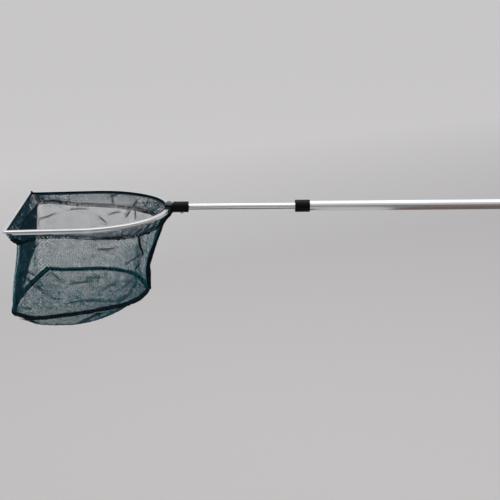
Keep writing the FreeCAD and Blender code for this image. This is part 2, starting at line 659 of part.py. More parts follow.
def frame_rail():
    """Channel bent to a D, split at the hub, its lower flange notched at the front corners."""
    split = block((-CUT_MARGIN, -RAIL_SPLIT / 2, -RAIL_HEIGHT - CUT_MARGIN),
                  (RAIL_DEPTH + CUT_MARGIN, RAIL_SPLIT / 2, CUT_MARGIN))
    solid = seat(carried(HOOP, rail_section), corner_notch(-1), corner_notch(1), split)
    return seat(hung(solid), bolt_hole())


def corner_notch(sign):
    """Slanting cut that takes the lower flange away round a front corner."""
    corner_x = -HOOP_INSIDE_LENGTH - RAIL_DEPTH - CUT_MARGIN
    corner_y = sign * (HOOP_INSIDE_HALF_WIDTH + RAIL_DEPTH + CUT_MARGIN)
    sections = []
    for size, height in ((NOTCH_LENGTH, -RAIL_GROOVE_DROP - RAIL_GROOVE_WIDTH),
                         (NOTCH_LENGTH + NOTCH_SPREAD, -RAIL_HEIGHT - CUT_MARGIN)):
        reach = size + CUT_MARGIN
        corners = [Vector(corner_x, corner_y, height), Vector(corner_x + reach, corner_y, height),
                   Vector(corner_x + reach, corner_y - sign * reach, height),
                   Vector(corner_x, corner_y - sign * reach, height)]
        sections.append(Part.makePolygon(corners + corners[:1]))
    return Part.makeLoft(sections, True, True)


def rail_joiner():
    """Insert inside the channel that bridges the hoop's two ends in the hub."""
    low = RAIL_WALL + JOINER_GAP
    ring = flat_ring(HOOP, low, RAIL_DEPTH - low, low - RAIL_HEIGHT, -low)
    half = block((-RAIL_DEPTH, -JOINER_HALF_LENGTH, -RAIL_HEIGHT), (2 * RAIL_DEPTH, JOINER_HALF_LENGTH, 0))
    return seat(hung(ring.common(half)), bolt_hole())


def rope_section(place, outward):
    """Circle against the channel's lips, half way up it."""
    centre = place + outward * (RAIL_WALL + SCREW_GAP + ROPE_DIAMETER / 2) - Z_AXIS * (RAIL_HEIGHT / 2)
    return Part.Wire(Part.makeCircle(ROPE_DIAMETER / 2, centre, outward.cross(Z_AXIS)))


def hem_rope():
    """Rope inside the channel that holds the hem; its two ends stop short of the joiner."""
    reach = JOINER_HALF_LENGTH + ROPE_END_GAP
    gap = block((-RAIL_DEPTH, -reach, -RAIL_HEIGHT), (RAIL_DEPTH, reach, 0))
    return hung(carried(HOOP, rope_section).cut(gap))


def hem_band():
    """Doubled mesh from the rope down and inwards to the hem's seam."""
    return hung(fabric_ring([(HOOP, HEM_TUCK, -RAIL_HEIGHT / 2), (HEM_SEAM, 0, -HEM_DROP)], HEM_THICKNESS))


def openings_between(low, high):
    """Starts of as many openings as fit between two limits, with bars between them, about the middle."""
    pitch = NET_OPENING + NET_BAR
    count = int((high - low + NET_BAR) / pitch)
    first = (low + high - count * pitch + NET_BAR) / 2
    return [first + index * pitch for index in range(count)]


def wall_openings():
    """Grid of openings through the bag's front, sides and rear."""
    side_front = NET_BORDER + BAG_LEFT_CORNER - BAG_MIDDLE_FRONT
    side_rear = -NET_SIDE_REAR
    beyond = BAG_SEAM_LEFT + NET_OPENING
    tools = []
    for bottom in openings_between(NET_BORDER - BAG_SEAM_DROP, -NET_BORDER - HEM_DROP):
        top = bottom + NET_OPENING
        for start in openings_between(side_front, side_rear):
            tools.append(block((start, -beyond, bottom), (start + NET_OPENING, beyond, top)))
        for start in openings_between(BAG_LEFT_CORNER - HEM_SIDE.half_width, BAG_SEAM_RIGHT - BAG_SEAM_CORNER):
            tools.append(block((-BAG_SEAM_FRONT - NET_OPENING, start, bottom),
                               (side_front, start + NET_OPENING, top)))
        for start in openings_between(NET_BORDER - HEM_SIDE.half_width, HEM_SIDE.half_width - NET_BORDER):
            tools.append(block((side_rear + NET_BAR, start, bottom), (0, start + NET_OPENING, top)))
    return tools


def net_wall():
    """Bag wall from the hem's seam to the bottom seam, with a coarse grid for its mesh."""
    levels = [(HEM_SEAM, 0, -HEM_DROP), (BAG_MIDDLE, 0, -BAG_MIDDLE_DROP), (BAG_SEAM, 0, -BAG_SEAM_DROP)]
    return hung(fabric_ring(levels, MESH_THICKNESS).cut(wall_openings()))


def bottom_seam():
    """Bound seam round the bag's bottom."""
    top = -BAG_SEAM_DROP
    return hung(flat_ring(BAG_SEAM, -SEAM_TAPE_INSIDE, SEAM_TAPE_OUTSIDE, top - SEAM_TAPE_HEIGHT, top))


def bottom_openings(top, bottom):
    """Grid of openings through the bottom panel, inside a border along its seam."""
    tools = []
    for x in openings_between(-BAG_SEAM_FRONT, -BAG_SEAM_REAR):
        for y in openings_between(-BAG_SEAM_LEFT, BAG_SEAM_RIGHT):
            tools.append(block((x, y, bottom), (x + NET_OPENING, y + NET_OPENING, top)))
    inside = Part.Face(Part.Wire(edges_of(BAG_SEAM, -NET_BORDER, bottom))).extrude(Vector(0, 0, top - bottom))
    return inside.common(tools)


def net_bottom():
    """Bottom panel, which sags below its seam, with a coarse grid for its mesh."""
    rim = -BAG_SEAM_DROP - SEAM_TAPE_HEIGHT
    levels = [(BAG_SEAM, rim)]
    for share, depth in SAG_STEPS:
        levels.append((BAG_SEAM.scaled(share), rim - BAG_SAG * depth))
    return hung(fabric_dish(levels, MESH_THICKNESS).cut(bottom_openings(rim, rim - 2 * BAG_SAG)))


def rear_seam():
    """Standing seam down the bag's rear, from the hub's underside to the bottom seam."""
    tuck_rear = HEM_TUCK
    top = BOSS_FLOOR - SOFT_GAP - math.sin(math.radians(HOOP_DROOP_DEGREES)) * REAR_SEAM_WIDTH
    share = (-top - RAIL_HEIGHT / 2) / (HEM_DROP - RAIL_HEIGHT / 2)
    stations = [(tuck_rear - share * (tuck_rear + HEM_INSET_REAR), top), (-HEM_INSET_REAR, -HEM_DROP),
                (-BAG_MIDDLE_REAR, -BAG_MIDDLE_DROP), (-BAG_SEAM_REAR, -BAG_SEAM_DROP)]
    half = REAR_SEAM_THICKNESS / 2
    sections = []
    for wall_x, height in stations:
        start = wall_x + SOFT_GAP
        corners = [Vector(start, -half, height), Vector(start + REAR_SEAM_WIDTH, -half, height),
                   Vector(start + REAR_SEAM_WIDTH, half, height), Vector(start, half, height)]
        sections.append(Part.makePolygon(corners + corners[:1]))
    return hung(Part.makeLoft(sections, True, True))


PIECES = {
    "outer_tube": outer_tube, "grip": grip, "end_cap": end_cap, "end_cap_pin": end_cap_pin,
    "pole_collar": pole_collar, "guide_bush": guide_bush, "lock_ring": lock_ring,
    "inner_tube": inner_tube, "cam_plug": cam_plug, "cam_pin": cam_pin, "cam_retainer": cam_retainer,
    "cam_screw": cam_screw, "socket_liner": socket_liner, "hub_body": hub_body, "hub_cap": hub_cap,
    "hub_bolt": hub_bolt, "hub_nut": hub_nut, "sleeve_screw": sleeve_screw, "frame_rail": frame_rail,
    "rail_joiner": rail_joiner, "hem_rope": hem_rope, "hem_band": hem_band, "net_wall": net_wall,
    "bottom_seam": bottom_seam, "net_bottom": net_bottom, "rear_seam": rear_seam,
}


def main():
    os.makedirs("parts", exist_ok=True)
    for name, make in PIECES.items():
        solid = make()
        box = solid.BoundBox
        print(f"{name}: {len(solid.Solids)} solid, valid {solid.isValid()}, volume {solid.Volume:.0f}, "
              f"x {box.XMin:.1f} to {box.XMax:.1f}, y {box.YMin:.1f} to {box.YMax:.1f}, "
              f"z {box.ZMin:.1f} to {box.ZMax:.1f}")
        solid.exportStep(f"parts/{name}.step")


main()
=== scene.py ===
"""Looks of a deep bag leaf net on a two stage pole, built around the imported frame.

Shapes are written in millimetres in the part's own frame: X runs along the pole to the handle's end, Y goes
away from the camera and Z is up. They become metres where a mesh is made.
"""

import logging
import math
from dataclasses import dataclass, field, replace
from enum import Enum
from typing import Optional, Sequence

import bpy
import numpy as np
from mathutils import Matrix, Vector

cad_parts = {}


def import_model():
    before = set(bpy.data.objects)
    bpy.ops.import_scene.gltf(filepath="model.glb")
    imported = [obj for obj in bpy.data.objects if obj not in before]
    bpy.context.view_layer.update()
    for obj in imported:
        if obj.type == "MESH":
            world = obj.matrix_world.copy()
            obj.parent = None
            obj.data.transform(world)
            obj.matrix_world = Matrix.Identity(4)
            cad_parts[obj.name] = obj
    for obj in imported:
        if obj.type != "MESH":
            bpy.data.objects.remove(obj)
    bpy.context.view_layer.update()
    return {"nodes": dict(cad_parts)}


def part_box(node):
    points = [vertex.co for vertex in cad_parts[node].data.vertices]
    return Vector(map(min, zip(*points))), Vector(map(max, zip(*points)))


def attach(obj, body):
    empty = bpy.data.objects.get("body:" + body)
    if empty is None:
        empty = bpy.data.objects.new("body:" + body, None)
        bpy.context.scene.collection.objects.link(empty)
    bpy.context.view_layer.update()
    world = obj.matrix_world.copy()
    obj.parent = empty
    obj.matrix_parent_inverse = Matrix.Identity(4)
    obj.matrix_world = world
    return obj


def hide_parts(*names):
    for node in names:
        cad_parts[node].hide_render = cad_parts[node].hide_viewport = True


LOG = logging.getLogger("leaf_net")
MM = 0.001
FULL_TURN = 2 * math.pi
SHARP_DEGREES = 40.0    # edges sharper than this stay hard

MAP_MARGIN = 0.04       # share of a strand's row on its map that is left free above and below
MAP_CAP_SHIFT = 0.3     # where a strand's end cap lies on the map, in steps from its last point
MAP_CAP_HALF = 0.4      # half the height of an end cap on the map, in rows

Array = np.ndarray
Piece = bpy.types.Object
Socket = bpy.types.NodeSocket
Pair = tuple[float, float]
Point = tuple[float, float, float]
Colour = tuple[float, float, float]

UP = np.array([0.0, 0.0, 1.0])


class Body(str, Enum):
    """CAD bodies that pieces of this file ride on."""
    HANDLE = "handle"
    NET_HEAD = "net_head"


class Slot(str, Enum):
    """Material slots of the record."""
    TUBE = "bright_tube"
    HOOP = "hoop_aluminium"
    BLACK = "black_plastic"
    GREY = "grey_plastic"
    NYLON = "white_nylon"
    RUBBER = "grip_rubber"
    STEEL = "steel"
    CORD = "dark_cord"
    HEM = "hem_mesh"
    NET = "net_mesh"
    TAPE = "seam_tape"


class Axis(Enum):
    """Axis that a turned piece is spun about."""
    POLE = 0
    UPRIGHT = 2


# Arrays and surfaces

def unit(vectors: Array) -> Array:
    """Each vector divided by its length."""
    return vectors / np.maximum(np.linalg.norm(vectors, axis=-1, keepdims=True), 1e-12)


def angles_round(count: int) -> Array:
    """Angles at equal steps round a full turn, from 0."""
    return np.arange(count) / count * FULL_TURN


def line_length(points: Array) -> float:
    """Length of the line through the points, in order."""
    return float(np.linalg.norm(np.diff(points, axis=0), axis=1).sum())


def distances(points: Array) -> Array:
    """How far along their line each of the points is, from 0 at the first."""
    return np.concatenate([[0.0], np.cumsum(np.linalg.norm(np.diff(points, axis=0), axis=1))])


def read_at(wanted: Array, known: Array, values: Array, period: Optional[float] = None) -> Array:
    """Rows of values, given at known places, read at wanted ones by straight lines between them."""
    return np.stack([np.interp(wanted, known, column, period=period) for column in values.T], -1)


def smoothed(values: Array, reach: int) -> Array:
    """Rows of values averaged under a bell that reaches this many rows to each side."""
    bell = np.hanning(2 * reach + 3)[1:-1]
    padded = np.pad(values, ((reach, reach), (0, 0)), mode="reflect", reflect_type="odd")
    return np.stack([np.convolve(column, bell / bell.sum(), mode="valid") for column in padded.T], -1)


def eased(value: Array) -> Array:
    """Smooth step: 0 below 0, 1 above 1, and three x squared less two x cubed between."""
    share = np.clip(value, 0.0, 1.0)
    return share * share * (3 - 2 * share)


def soft_noise(shape: tuple[int, int], reach: tuple[int, int], seed: int) -> Array:
    """Seeded noise with a spread of 1, in which points that lie near each other are alike.

    It is white noise summed over a bell of 0.5 + 0.5 cosine along each axis in turn.

    Args:
        shape: rows and columns.
        reach: how many points the bell reaches to each side, along rows and along columns.
        seed: start of the draw.

    Returns:
        The noise, which runs on across its edges.
    """
    noise = np.random.default_rng(seed).standard_normal(shape)
    for axis, width in enumerate(reach):
        shifts = np.arange(-width, width + 1)
        bell = 0.5 + 0.5 * np.cos(math.pi * shifts / (width + 1))
        bell /= math.sqrt(float((bell ** 2).sum()))
        noise = sum(weight * np.roll(noise, shift, axis) for weight, shift in zip(bell, shifts))
    return noise


def grid_quads(rows: int, columns: int, closed_rows: bool = False, closed_columns: bool = False) -> Array:
    """Faces of a grid of points numbered row by row.

    Args:
        rows: number of rows.
        columns: number of points in a row.
        closed_rows: True where the last row joins the first.
        closed_columns: True where each row is a closed loop.

    Returns:
        Corner numbers, four to a face. A face looks along its column step crossed with its row step.
    """
    row = np.arange(rows if closed_rows else rows - 1)[:, None]
    column = np.arange(columns if closed_columns else columns - 1)[None, :]
    next_row = (row + 1) % rows
    next_column = (column + 1) % columns
    corners = [row * columns + column, row * columns + next_column,
               next_row * columns + next_column, next_row * columns + column]
    return np.stack(np.broadcast_arrays(*corners), -1).reshape(-1, 4)


def enclosed_volume(points: Array, faces: Sequence[Array]) -> float:
    """Six times the volume inside closed faces, less than zero where they point inwards."""
    total = 0.0
    for block in faces:
        first = points[block[:, 0]]
        for corner in range(1, block.shape[1] - 1):
            cross = np.cross(points[block[:, corner]], points[block[:, corner + 1]])
            total += float(np.sum(first * cross))
    return total


def make_piece(name: str, points: Array, faces: Sequence[Array],
               sharp_degrees: Optional[float] = SHARP_DEGREES, closed: bool = True,
               marks: Optional[Array] = None) -> Piece:
    """Mesh object made from whole arrays.

    Args:
        name: the piece's name.
        points: (n, 3) places in millimetres.
        faces: blocks of corner numbers, each block with as many corners to a face.
        sharp_degrees: edges sharper than this stay hard, or None where all are smooth.
        closed: True where the faces close, so that they can be turned outwards by their volume.
        marks: (corners, 2) places of the face corners on the strand map, or None.

    Returns:
        The object, linked to the scene, at the origin.
    """
    points = np.asarray(points, float).reshape(-1, 3)
    if closed and enclosed_volume(points, faces) < 0:
        faces = [block[:, ::-1] for block in faces]
    loops = np.concatenate([block.reshape(-1) for block in faces]).astype(np.int32)
    sizes = np.concatenate([np.full(len(block), block.shape[1]) for block in faces])
    starts = np.concatenate([[0], np.cumsum(sizes)[:-1]]).astype(np.int32)
    mesh = bpy.data.meshes.new(name)
    mesh.vertices.add(len(points))
    mesh.vertices.foreach_set("co", (points * MM).astype(np.float32).ravel())
    mesh.loops.add(len(loops))
    mesh.loops.foreach_set("vertex_index", loops)
    mesh.polygons.add(len(starts))
    mesh.polygons.foreach_set("loop_start", starts)
    mesh.update(calc_edges=True)
    mesh.shade_smooth()
    if sharp_degrees is not None:
        mesh.set_sharp_from_angle(angle=math.radians(sharp_degrees))
    if marks is not None:
        layer = mesh.uv_layers.new(name="OFBake")
        layer.data.foreach_set("uv", marks.astype(np.float32).ravel())
    piece = bpy.data.objects.new(name, mesh)
    bpy.context.scene.collection.objects.link(piece)
    return piece


@dataclass(frozen=True)
class Corner:
    """Corner of a section: its two coordinates and how far it is rounded."""
    first: float
    second: float
    rounding: float = 0.0


def rounded_section(corners: Sequence[Corner], steps: int = 3) -> Array:
    """Closed outline through corners, each rounded by a curve that starts at its rounding's distance.

    Each round is the square blend (1-s)^2 start + 2s(1-s) corner + s^2 end.

    Args:
        corners: the corners in order.
        steps: pieces of each rounded corner.

    Returns:
        (n, 2) points of the outline.
    """
    places = np.array([(corner.first, corner.second) for corner in corners])
    parts = []
    share = np.linspace(0.0, 1.0, steps + 1)[:, None]
    for index, corner in enumerate(corners):
        here = places[index]
        if corner.rounding <= 0:
            parts.append(here[None])
            continue
        before = here + unit(places[index - 1] - here) * corner.rounding
        after = here + unit(places[(index + 1) % len(corners)] - here) * corner.rounding
        parts.append((1 - share) ** 2 * before + 2 * share * (1 - share) * here + share ** 2 * after)
    return np.concatenate(parts)


def turned(name: str, section: Array, segments: int = 96, axis: Axis = Axis.POLE,
           centre: Point = (0.0, 0.0, 0.0)) -> Piece:
    """Ring whose section, a loop of points (along, radius), goes round the axis.

    Place = along on the axis, radius times cosine and sine of the turn across it.

    Args:
        name: the piece's name.
        section: (n, 2) distances along the axis and from it.
        segments: steps of the full turn.
        axis: what it is spun about.
        centre: where the axis's zero lies.

    Returns:
        The finished piece.
    """
    angle = angles_round(segments)
    along = np.repeat(section[:, :1], segments, axis=1)
    across = section[:, 1:] * np.cos(angle)
    aside = section[:, 1:] * np.sin(angle)
    order = (along, across, aside) if axis is Axis.POLE else (across, aside, along)
    faces = grid_quads(len(section), segments, closed_rows=True, closed_columns=True)
    return make_piece(name, np.stack(order, -1).reshape(-1, 3) + np.array(centre), [faces])


@dataclass(frozen=True)
class Route:
    """Path that a section is carried along: places and, at each, the two directions of the section."""
    places: Array
    first: Array
    second: Array
    closed: bool = False

    @property
    def length(self) -> float:
        """Length of the path."""
        return float(distances(self.places)[-1])

    def at(self, wanted: Array) -> "Route":
        """The same path with its places at wanted distances, which start again past its end."""
        known = distances(self.places)
        places, first, second = (read_at(wanted % known[-1], known, values)
                                 for values in (self.places, self.first, self.second))
        return Route(places, unit(first), unit(second))


def carried(name: str, route: Route, section: Array,
            sharp_degrees: Optional[float] = SHARP_DEGREES) -> Piece:
    """Section carried along a route.

    Place = route's place + first direction times the section's first coordinate + second times its second.

    Args:
        name: the piece's name.
        route: the path and its directions.
        section: (m, 2) one outline for the whole route, or (n, m, 2) one for each of its places.
        sharp_degrees: edges sharper than this stay hard.

    Returns:
        The finished piece, with flat ends where the route is open.
    """
    outline = np.broadcast_to(section, (len(route.places),) + section.shape[-2:])
    points = (route.places[:, None] + route.first[:, None] * outline[..., :1]
              + route.second[:, None] * outline[..., 1:])
    rows, columns = points.shape[:2]
    faces = [grid_quads(rows, columns, closed_rows=route.closed, closed_columns=True)]
    if not route.closed:
        ring = np.arange(columns)
        faces.append(ring[::-1][None])
        faces.append((rows - 1) * columns + ring[None])
    return make_piece(name, points.reshape(-1, 3), faces, sharp_degrees)


def strands(name: str, places: Array, outwards: Array, keep: Array, radius: float | Array,
            sides: int = 3) -> Piece:
    """Thin tubes along many lines at once, each with its own row of the strand map.

    At each point the tube's ring is radius times sine across the line and cosine out of the cloth, where
    across is the cloth's normal crossed with the line's direction.

    Args:
        name: the piece's name.
        places: (strands, points, 3) lines in millimetres.
        outwards: (strands, points, 3) the cloth's normals there.
        keep: (strands, points) True where the strand exists.
        radius: of the tubes, one for all or one for each point.
        sides: faces round a tube.

    Returns:
        The finished piece.
    """
    along = unit(np.gradient(places, axis=1))
    across = unit(np.cross(outwards, along))
    upright = np.cross(along, across)
    angle = angles_round(sides)
    wide = np.broadcast_to(radius, keep.shape)[..., None, None]
    ring = across[:, :, None] * np.sin(angle)[:, None] + upright[:, :, None] * np.cos(angle)[:, None]
    points = places[:, :, None] + wide * ring
    number = np.full(keep.shape, -1)
    number[keep] = np.arange(int(keep.sum()))
    sides_faces, side_marks = strand_sides(number, sides)
    cap_faces, cap_marks = strand_caps(number, sides)
    return make_piece(name, points[keep].reshape(-1, 3), [sides_faces, *cap_faces], None, closed=False,
                      marks=np.concatenate([side_marks, *cap_marks]))


def strand_sides(number: Array, sides: int) -> tuple[Array, Array]:
    """Long faces of strands, with a row of the strand map for each strand.

    Args:
        number: (strands, points) number of each point's ring, or -1 where there is none.
        sides: faces round a tube.

    Returns:
        Corner numbers, four to a face, and the corners' places on the map.
    """
    count, length = number.shape
    strand, step = np.nonzero((number[:, :-1] >= 0) & (number[:, 1:] >= 0))
    here = number[strand, step][:, None] * sides
    there = number[strand, step + 1][:, None] * sides
    side = np.arange(sides)
    after = (side + 1) % sides
    faces = np.stack([here + side, here + after, there + after, there + side], -1)
    row_height = (1 - 2 * MAP_MARGIN) / count
    low = (strand[:, None] + MAP_MARGIN) / count + side / sides * row_height
    high = low + row_height / sides
    left = np.broadcast_to(((step + 0.5) / length)[:, None], low.shape)
    right = left + 1.0 / length
    corners = ((left, low), (left, high), (right, high), (right, low))
    marks = np.stack([np.stack(corner, -1) for corner in corners], -2)
    return faces.reshape(-1, 4), marks.reshape(-1, 2)


def strand_caps(number: Array, sides: int) -> tuple[list[Array], list[Array]]:
    """Faces that close the strands' two ends, each a small round on the strand's row of the map.

    Args:
        number: (strands, points) number of each point's ring, or -1 where there is none.
        sides: faces round a tube.

    Returns:
        For starts and for ends: corner numbers, and the corners' places on the map.
    """
    count, length = number.shape
    keep = number >= 0
    joined = keep[:, :-1] & keep[:, 1:]
    starts = keep & ~np.pad(joined, ((0, 0), (1, 0)))
    ends = keep & ~np.pad(joined, ((0, 0), (0, 1)))
    if (starts & ends).any():
        raise ValueError(f"{int((starts & ends).sum())} strand points stand alone")
    angle = angles_round(sides)
    faces, marks = [], []
    for ringed, way, shift in ((starts, -1, -MAP_CAP_SHIFT), (ends, 1, MAP_CAP_SHIFT)):
        strand, step = np.nonzero(ringed)
        faces.append(number[strand, step][:, None] * sides + np.arange(sides)[::way])
        along = (step[:, None] + 0.5) / length + shift / length * (0.5 + 0.5 * np.cos(angle))
        aside = (strand[:, None] + 0.5) / count + MAP_CAP_HALF / count * np.sin(angle)
        marks.append(np.stack([along, aside], -1)[:, ::way].reshape(-1, 2))
    return faces, marks


# Finishes

class Graph:
    """Node graph of one material, with its shader at hand."""

    def __init__(self, name: str) -> None:
        """Start a material with a Principled shader."""
        self.material = bpy.data.materials.new(name)
        self.material.use_nodes = True
        self.tree = self.material.node_tree
        self.shader = self.tree.nodes["Principled BSDF"]

    def add(self, kind: str, **inputs: object) -> bpy.types.Node:
        """Add a node and set its inputs by name, with underscores for spaces."""
        node = self.tree.nodes.new(kind)
        for key, value in inputs.items():
            node.inputs[key.replace("_", " ")].default_value = value
        return node

    def join(self, source: Socket, target: Socket) -> None:
        """Link one socket to another."""
        self.tree.links.new(source, target)

    def noise(self, scale: Point, detail: float = 4.0) -> Socket:
        """Noise on Object coordinates with its own scale along each axis, in turns per metre."""
        place = self.add("ShaderNodeTexCoord")
        mapping = self.add("ShaderNodeMapping", Scale=scale)
        noise = self.add("ShaderNodeTexNoise", Scale=1.0, Detail=detail, Roughness=0.55)
        self.join(place.outputs["Object"], mapping.inputs["Vector"])
        self.join(mapping.outputs["Vector"], noise.inputs["Vector"])
        return noise.outputs["Fac"]

    def spread(self, source: Socket, low: float, high: float) -> Socket:
        """Bring noise from its usual 0.3 to 0.7 to a range."""
        node = self.add("ShaderNodeMapRange", From_Min=0.3, From_Max=0.7, To_Min=low, To_Max=high)
        self.join(source, node.inputs["Value"])
        return node.outputs["Result"]

    def blend(self, share: Socket, first: Colour, second: Colour) -> Socket:
        """Mix two colours by a share."""
        node = self.add("ShaderNodeMix")
        node.data_type = "RGBA"
        share_in, first_in, second_in = node.inputs[0], node.inputs[6], node.inputs[7]
        first_in.default_value = (*first, 1.0)
        second_in.default_value = (*second, 1.0)
        self.join(share, share_in)
        return node.outputs[2]

    def ramp(self, way: Point, start: float, end: float) -> Socket:
        """Share from 0 to 1 along a direction on Object coordinates, between two distances in metres."""
        place = self.add("ShaderNodeTexCoord")
        along = self.add("ShaderNodeVectorMath")
        along.operation = "DOT_PRODUCT"
        along.inputs[1].default_value = way
        node = self.add("ShaderNodeMapRange", From_Min=start, From_Max=end)
        self.join(place.outputs["Object"], along.inputs[0])
        self.join(along.outputs["Value"], node.inputs["Value"])
        return node.outputs["Result"]

    def bump(self, height: Socket, depth: float) -> None:
        """Raise the surface by a height pattern, depth in metres."""
        node = self.add("ShaderNodeBump", Strength=1.0, Distance=depth)
        self.join(height, node.inputs["Height"])
        self.join(node.outputs["Normal"], self.shader.inputs["Normal"])


def alike(scale: float) -> Point:
    """The same scale along all three axes."""
    return scale, scale, scale


@dataclass(frozen=True)
class Finish:
    """One material: two close colours that a slow pattern mixes, and a fine grain in gloss and height.

    The patterns' scales are in turns per metre and the grain's depth is in metres.
    """
    name: str
    slot: Slot
    colour: Colour
    shade: Colour
    patches: Point
    grain: Point
    gloss: Pair
    depth: float
    metallic: float = 0.0
    specular: float = 0.5
    sheen: float = 0.0
    transmission: float = 0.0
    ior: float = 1.5

    def material(self) -> bpy.types.Material:
        """The material, made once and found again by its name."""
        known = bpy.data.materials.get(self.name)
        return known if known else self.made()

    def made(self) -> bpy.types.Material:
        """Build the node graph."""
        graph = Graph(self.name)
        shader = graph.shader.inputs
        for socket, value in (("Metallic", self.metallic), ("Specular IOR Level", self.specular),
                              ("Sheen Weight", self.sheen), ("Transmission Weight", self.transmission),
                              ("IOR", self.ior)):
            shader[socket].default_value = value
        slow = graph.spread(graph.noise(self.patches, detail=3.0), 0.0, 1.0)
        graph.join(graph.blend(slow, self.colour, self.shade), shader["Base Color"])
        fine = graph.noise(self.grain)
        graph.join(graph.spread(fine, *self.gloss), shader["Roughness"])
        if self.depth > 0:
            graph.bump(fine, self.depth)
        return graph.material

    def dress(self, piece: Piece) -> Piece:
        """Give the piece this finish alone."""
        piece.data.materials.clear()
        piece.data.materials.append(self.material())
        return piece


DRAWN_TUBE = Finish("drawn_aluminium", Slot.TUBE, colour=(0.84, 0.85, 0.87), shade=(0.79, 0.80, 0.82),
                    patches=(1.5, 60.0, 60.0), grain=(7.0, 900.0, 900.0), gloss=(0.13, 0.24),
                    depth=0.000004, metallic=1.0)
HOOP_SKIN = Finish("extruded_aluminium", Slot.HOOP, colour=(0.83, 0.84, 0.85), shade=(0.76, 0.77, 0.78),
                   patches=(9.0, 9.0, 40.0), grain=(25.0, 25.0, 1500.0), gloss=(0.14, 0.24),
                   depth=0.000005, metallic=1.0)
MOULDED_BLACK = Finish("moulded_black", Slot.BLACK, colour=(0.0011, 0.0014, 0.0017),
                       shade=(0.0022, 0.0027, 0.0032), patches=alike(60.0), grain=alike(2600.0),
                       gloss=(0.24, 0.34), depth=0.000006, specular=0.12)
MOULDED_GREY = Finish("moulded_grey", Slot.GREY, colour=(0.085, 0.088, 0.093), shade=(0.055, 0.058, 0.062),
                      patches=alike(220.0), grain=alike(2200.0), gloss=(0.3, 0.42), depth=0.000008,
                      specular=0.6)
TURNED_NYLON = Finish("turned_nylon", Slot.NYLON, colour=(0.78, 0.77, 0.72), shade=(0.7, 0.69, 0.64),
                      patches=alike(90.0), grain=(1200.0, 200.0, 200.0), gloss=(0.35, 0.5), depth=0.00001)
RIBBED_RUBBER = Finish("foam_rubber", Slot.RUBBER, colour=(0.016, 0.016, 0.017), shade=(0.024, 0.024, 0.025),
                       patches=alike(80.0), grain=alike(2400.0), gloss=(0.6, 0.78), depth=0.00006,
                       specular=0.35, sheen=0.08)
ZINC_STEEL = Finish("zinc_steel", Slot.STEEL, colour=(0.62, 0.62, 0.61), shade=(0.5, 0.5, 0.5),
                    patches=alike(160.0), grain=alike(1800.0), gloss=(0.28, 0.45), depth=0.000006,
                    metallic=1.0)
LAID_CORD = Finish("laid_cord", Slot.CORD, colour=(0.006, 0.011, 0.014), shade=(0.011, 0.019, 0.024),
                   patches=alike(300.0), grain=alike(2500.0), gloss=(0.65, 0.85), depth=0.00008, sheen=0.1)
NET_THREAD = Finish("net_thread", Slot.NET, colour=(0.016, 0.170, 0.215), shade=(0.026, 0.245, 0.300),
                    patches=alike(45.0), grain=alike(800.0), gloss=(0.6, 0.8), depth=0.0, specular=0.08,
                    sheen=0.02, transmission=0.6, ior=1.02)
BOTTOM_THREAD = replace(NET_THREAD, name="bottom_thread", colour=(0.012, 0.125, 0.155),
                        shade=(0.020, 0.185, 0.225))
HEM_THREAD = replace(NET_THREAD, name="hem_thread", slot=Slot.HEM, colour=(0.010, 0.078, 0.118),
                     shade=(0.018, 0.122, 0.180), patches=alike(70.0), grain=alike(900.0), transmission=0.5)
# Painted shade: the net thread's colour made much darker, for net whose threads shade each other where it lies
# in folds, bunches and loops.
GATHERED_NET_SHADE = Finish("gathered_net_shade", Slot.NET, colour=(0.0042, 0.0125, 0.0195),
                      shade=(0.0098, 0.0260, 0.0400), patches=alike(60.0), grain=alike(800.0),
                      gloss=(0.6, 0.8), depth=0.0, specular=0.06)
# Painted shade for the front panel's thread, whose threads shade each other where they are seen edge on.
FRONT_NET_SHADE = replace(GATHERED_NET_SHADE, name="front_net_shade", colour=(0.0070, 0.0280, 0.0430),
                    shade=(0.0130, 0.0460, 0.0700))
SEAM_CLOTH = Finish("overlocked_seam", Slot.TAPE, colour=(0.0014, 0.0046, 0.0068),
                    shade=(0.0070, 0.0180, 0.0260), patches=alike(260.0), grain=alike(1800.0),
                    gloss=(0.6, 0.8), depth=0.0001, specular=0.08, sheen=0.02)


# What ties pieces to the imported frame

def reach_of(node: str) -> Pair:
    """Where a CAD node starts and ends along the pole, in millimetres."""
    low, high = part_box(node)
    return low.x / MM, high.x / MM


def settle(piece: Piece, body: Body, *nodes: str) -> Piece:
    """Let a piece ride on a body, stand for CAD nodes if any are named, and report it."""
    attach(piece, body.value)
    if nodes:
        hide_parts(*nodes)
    LOG.info("%s: %d faces on %s, for %s", piece.name, len(piece.data.polygons), body.value,
             ", ".join(nodes) or "no node")
    return piece


# Pole, collar and grip

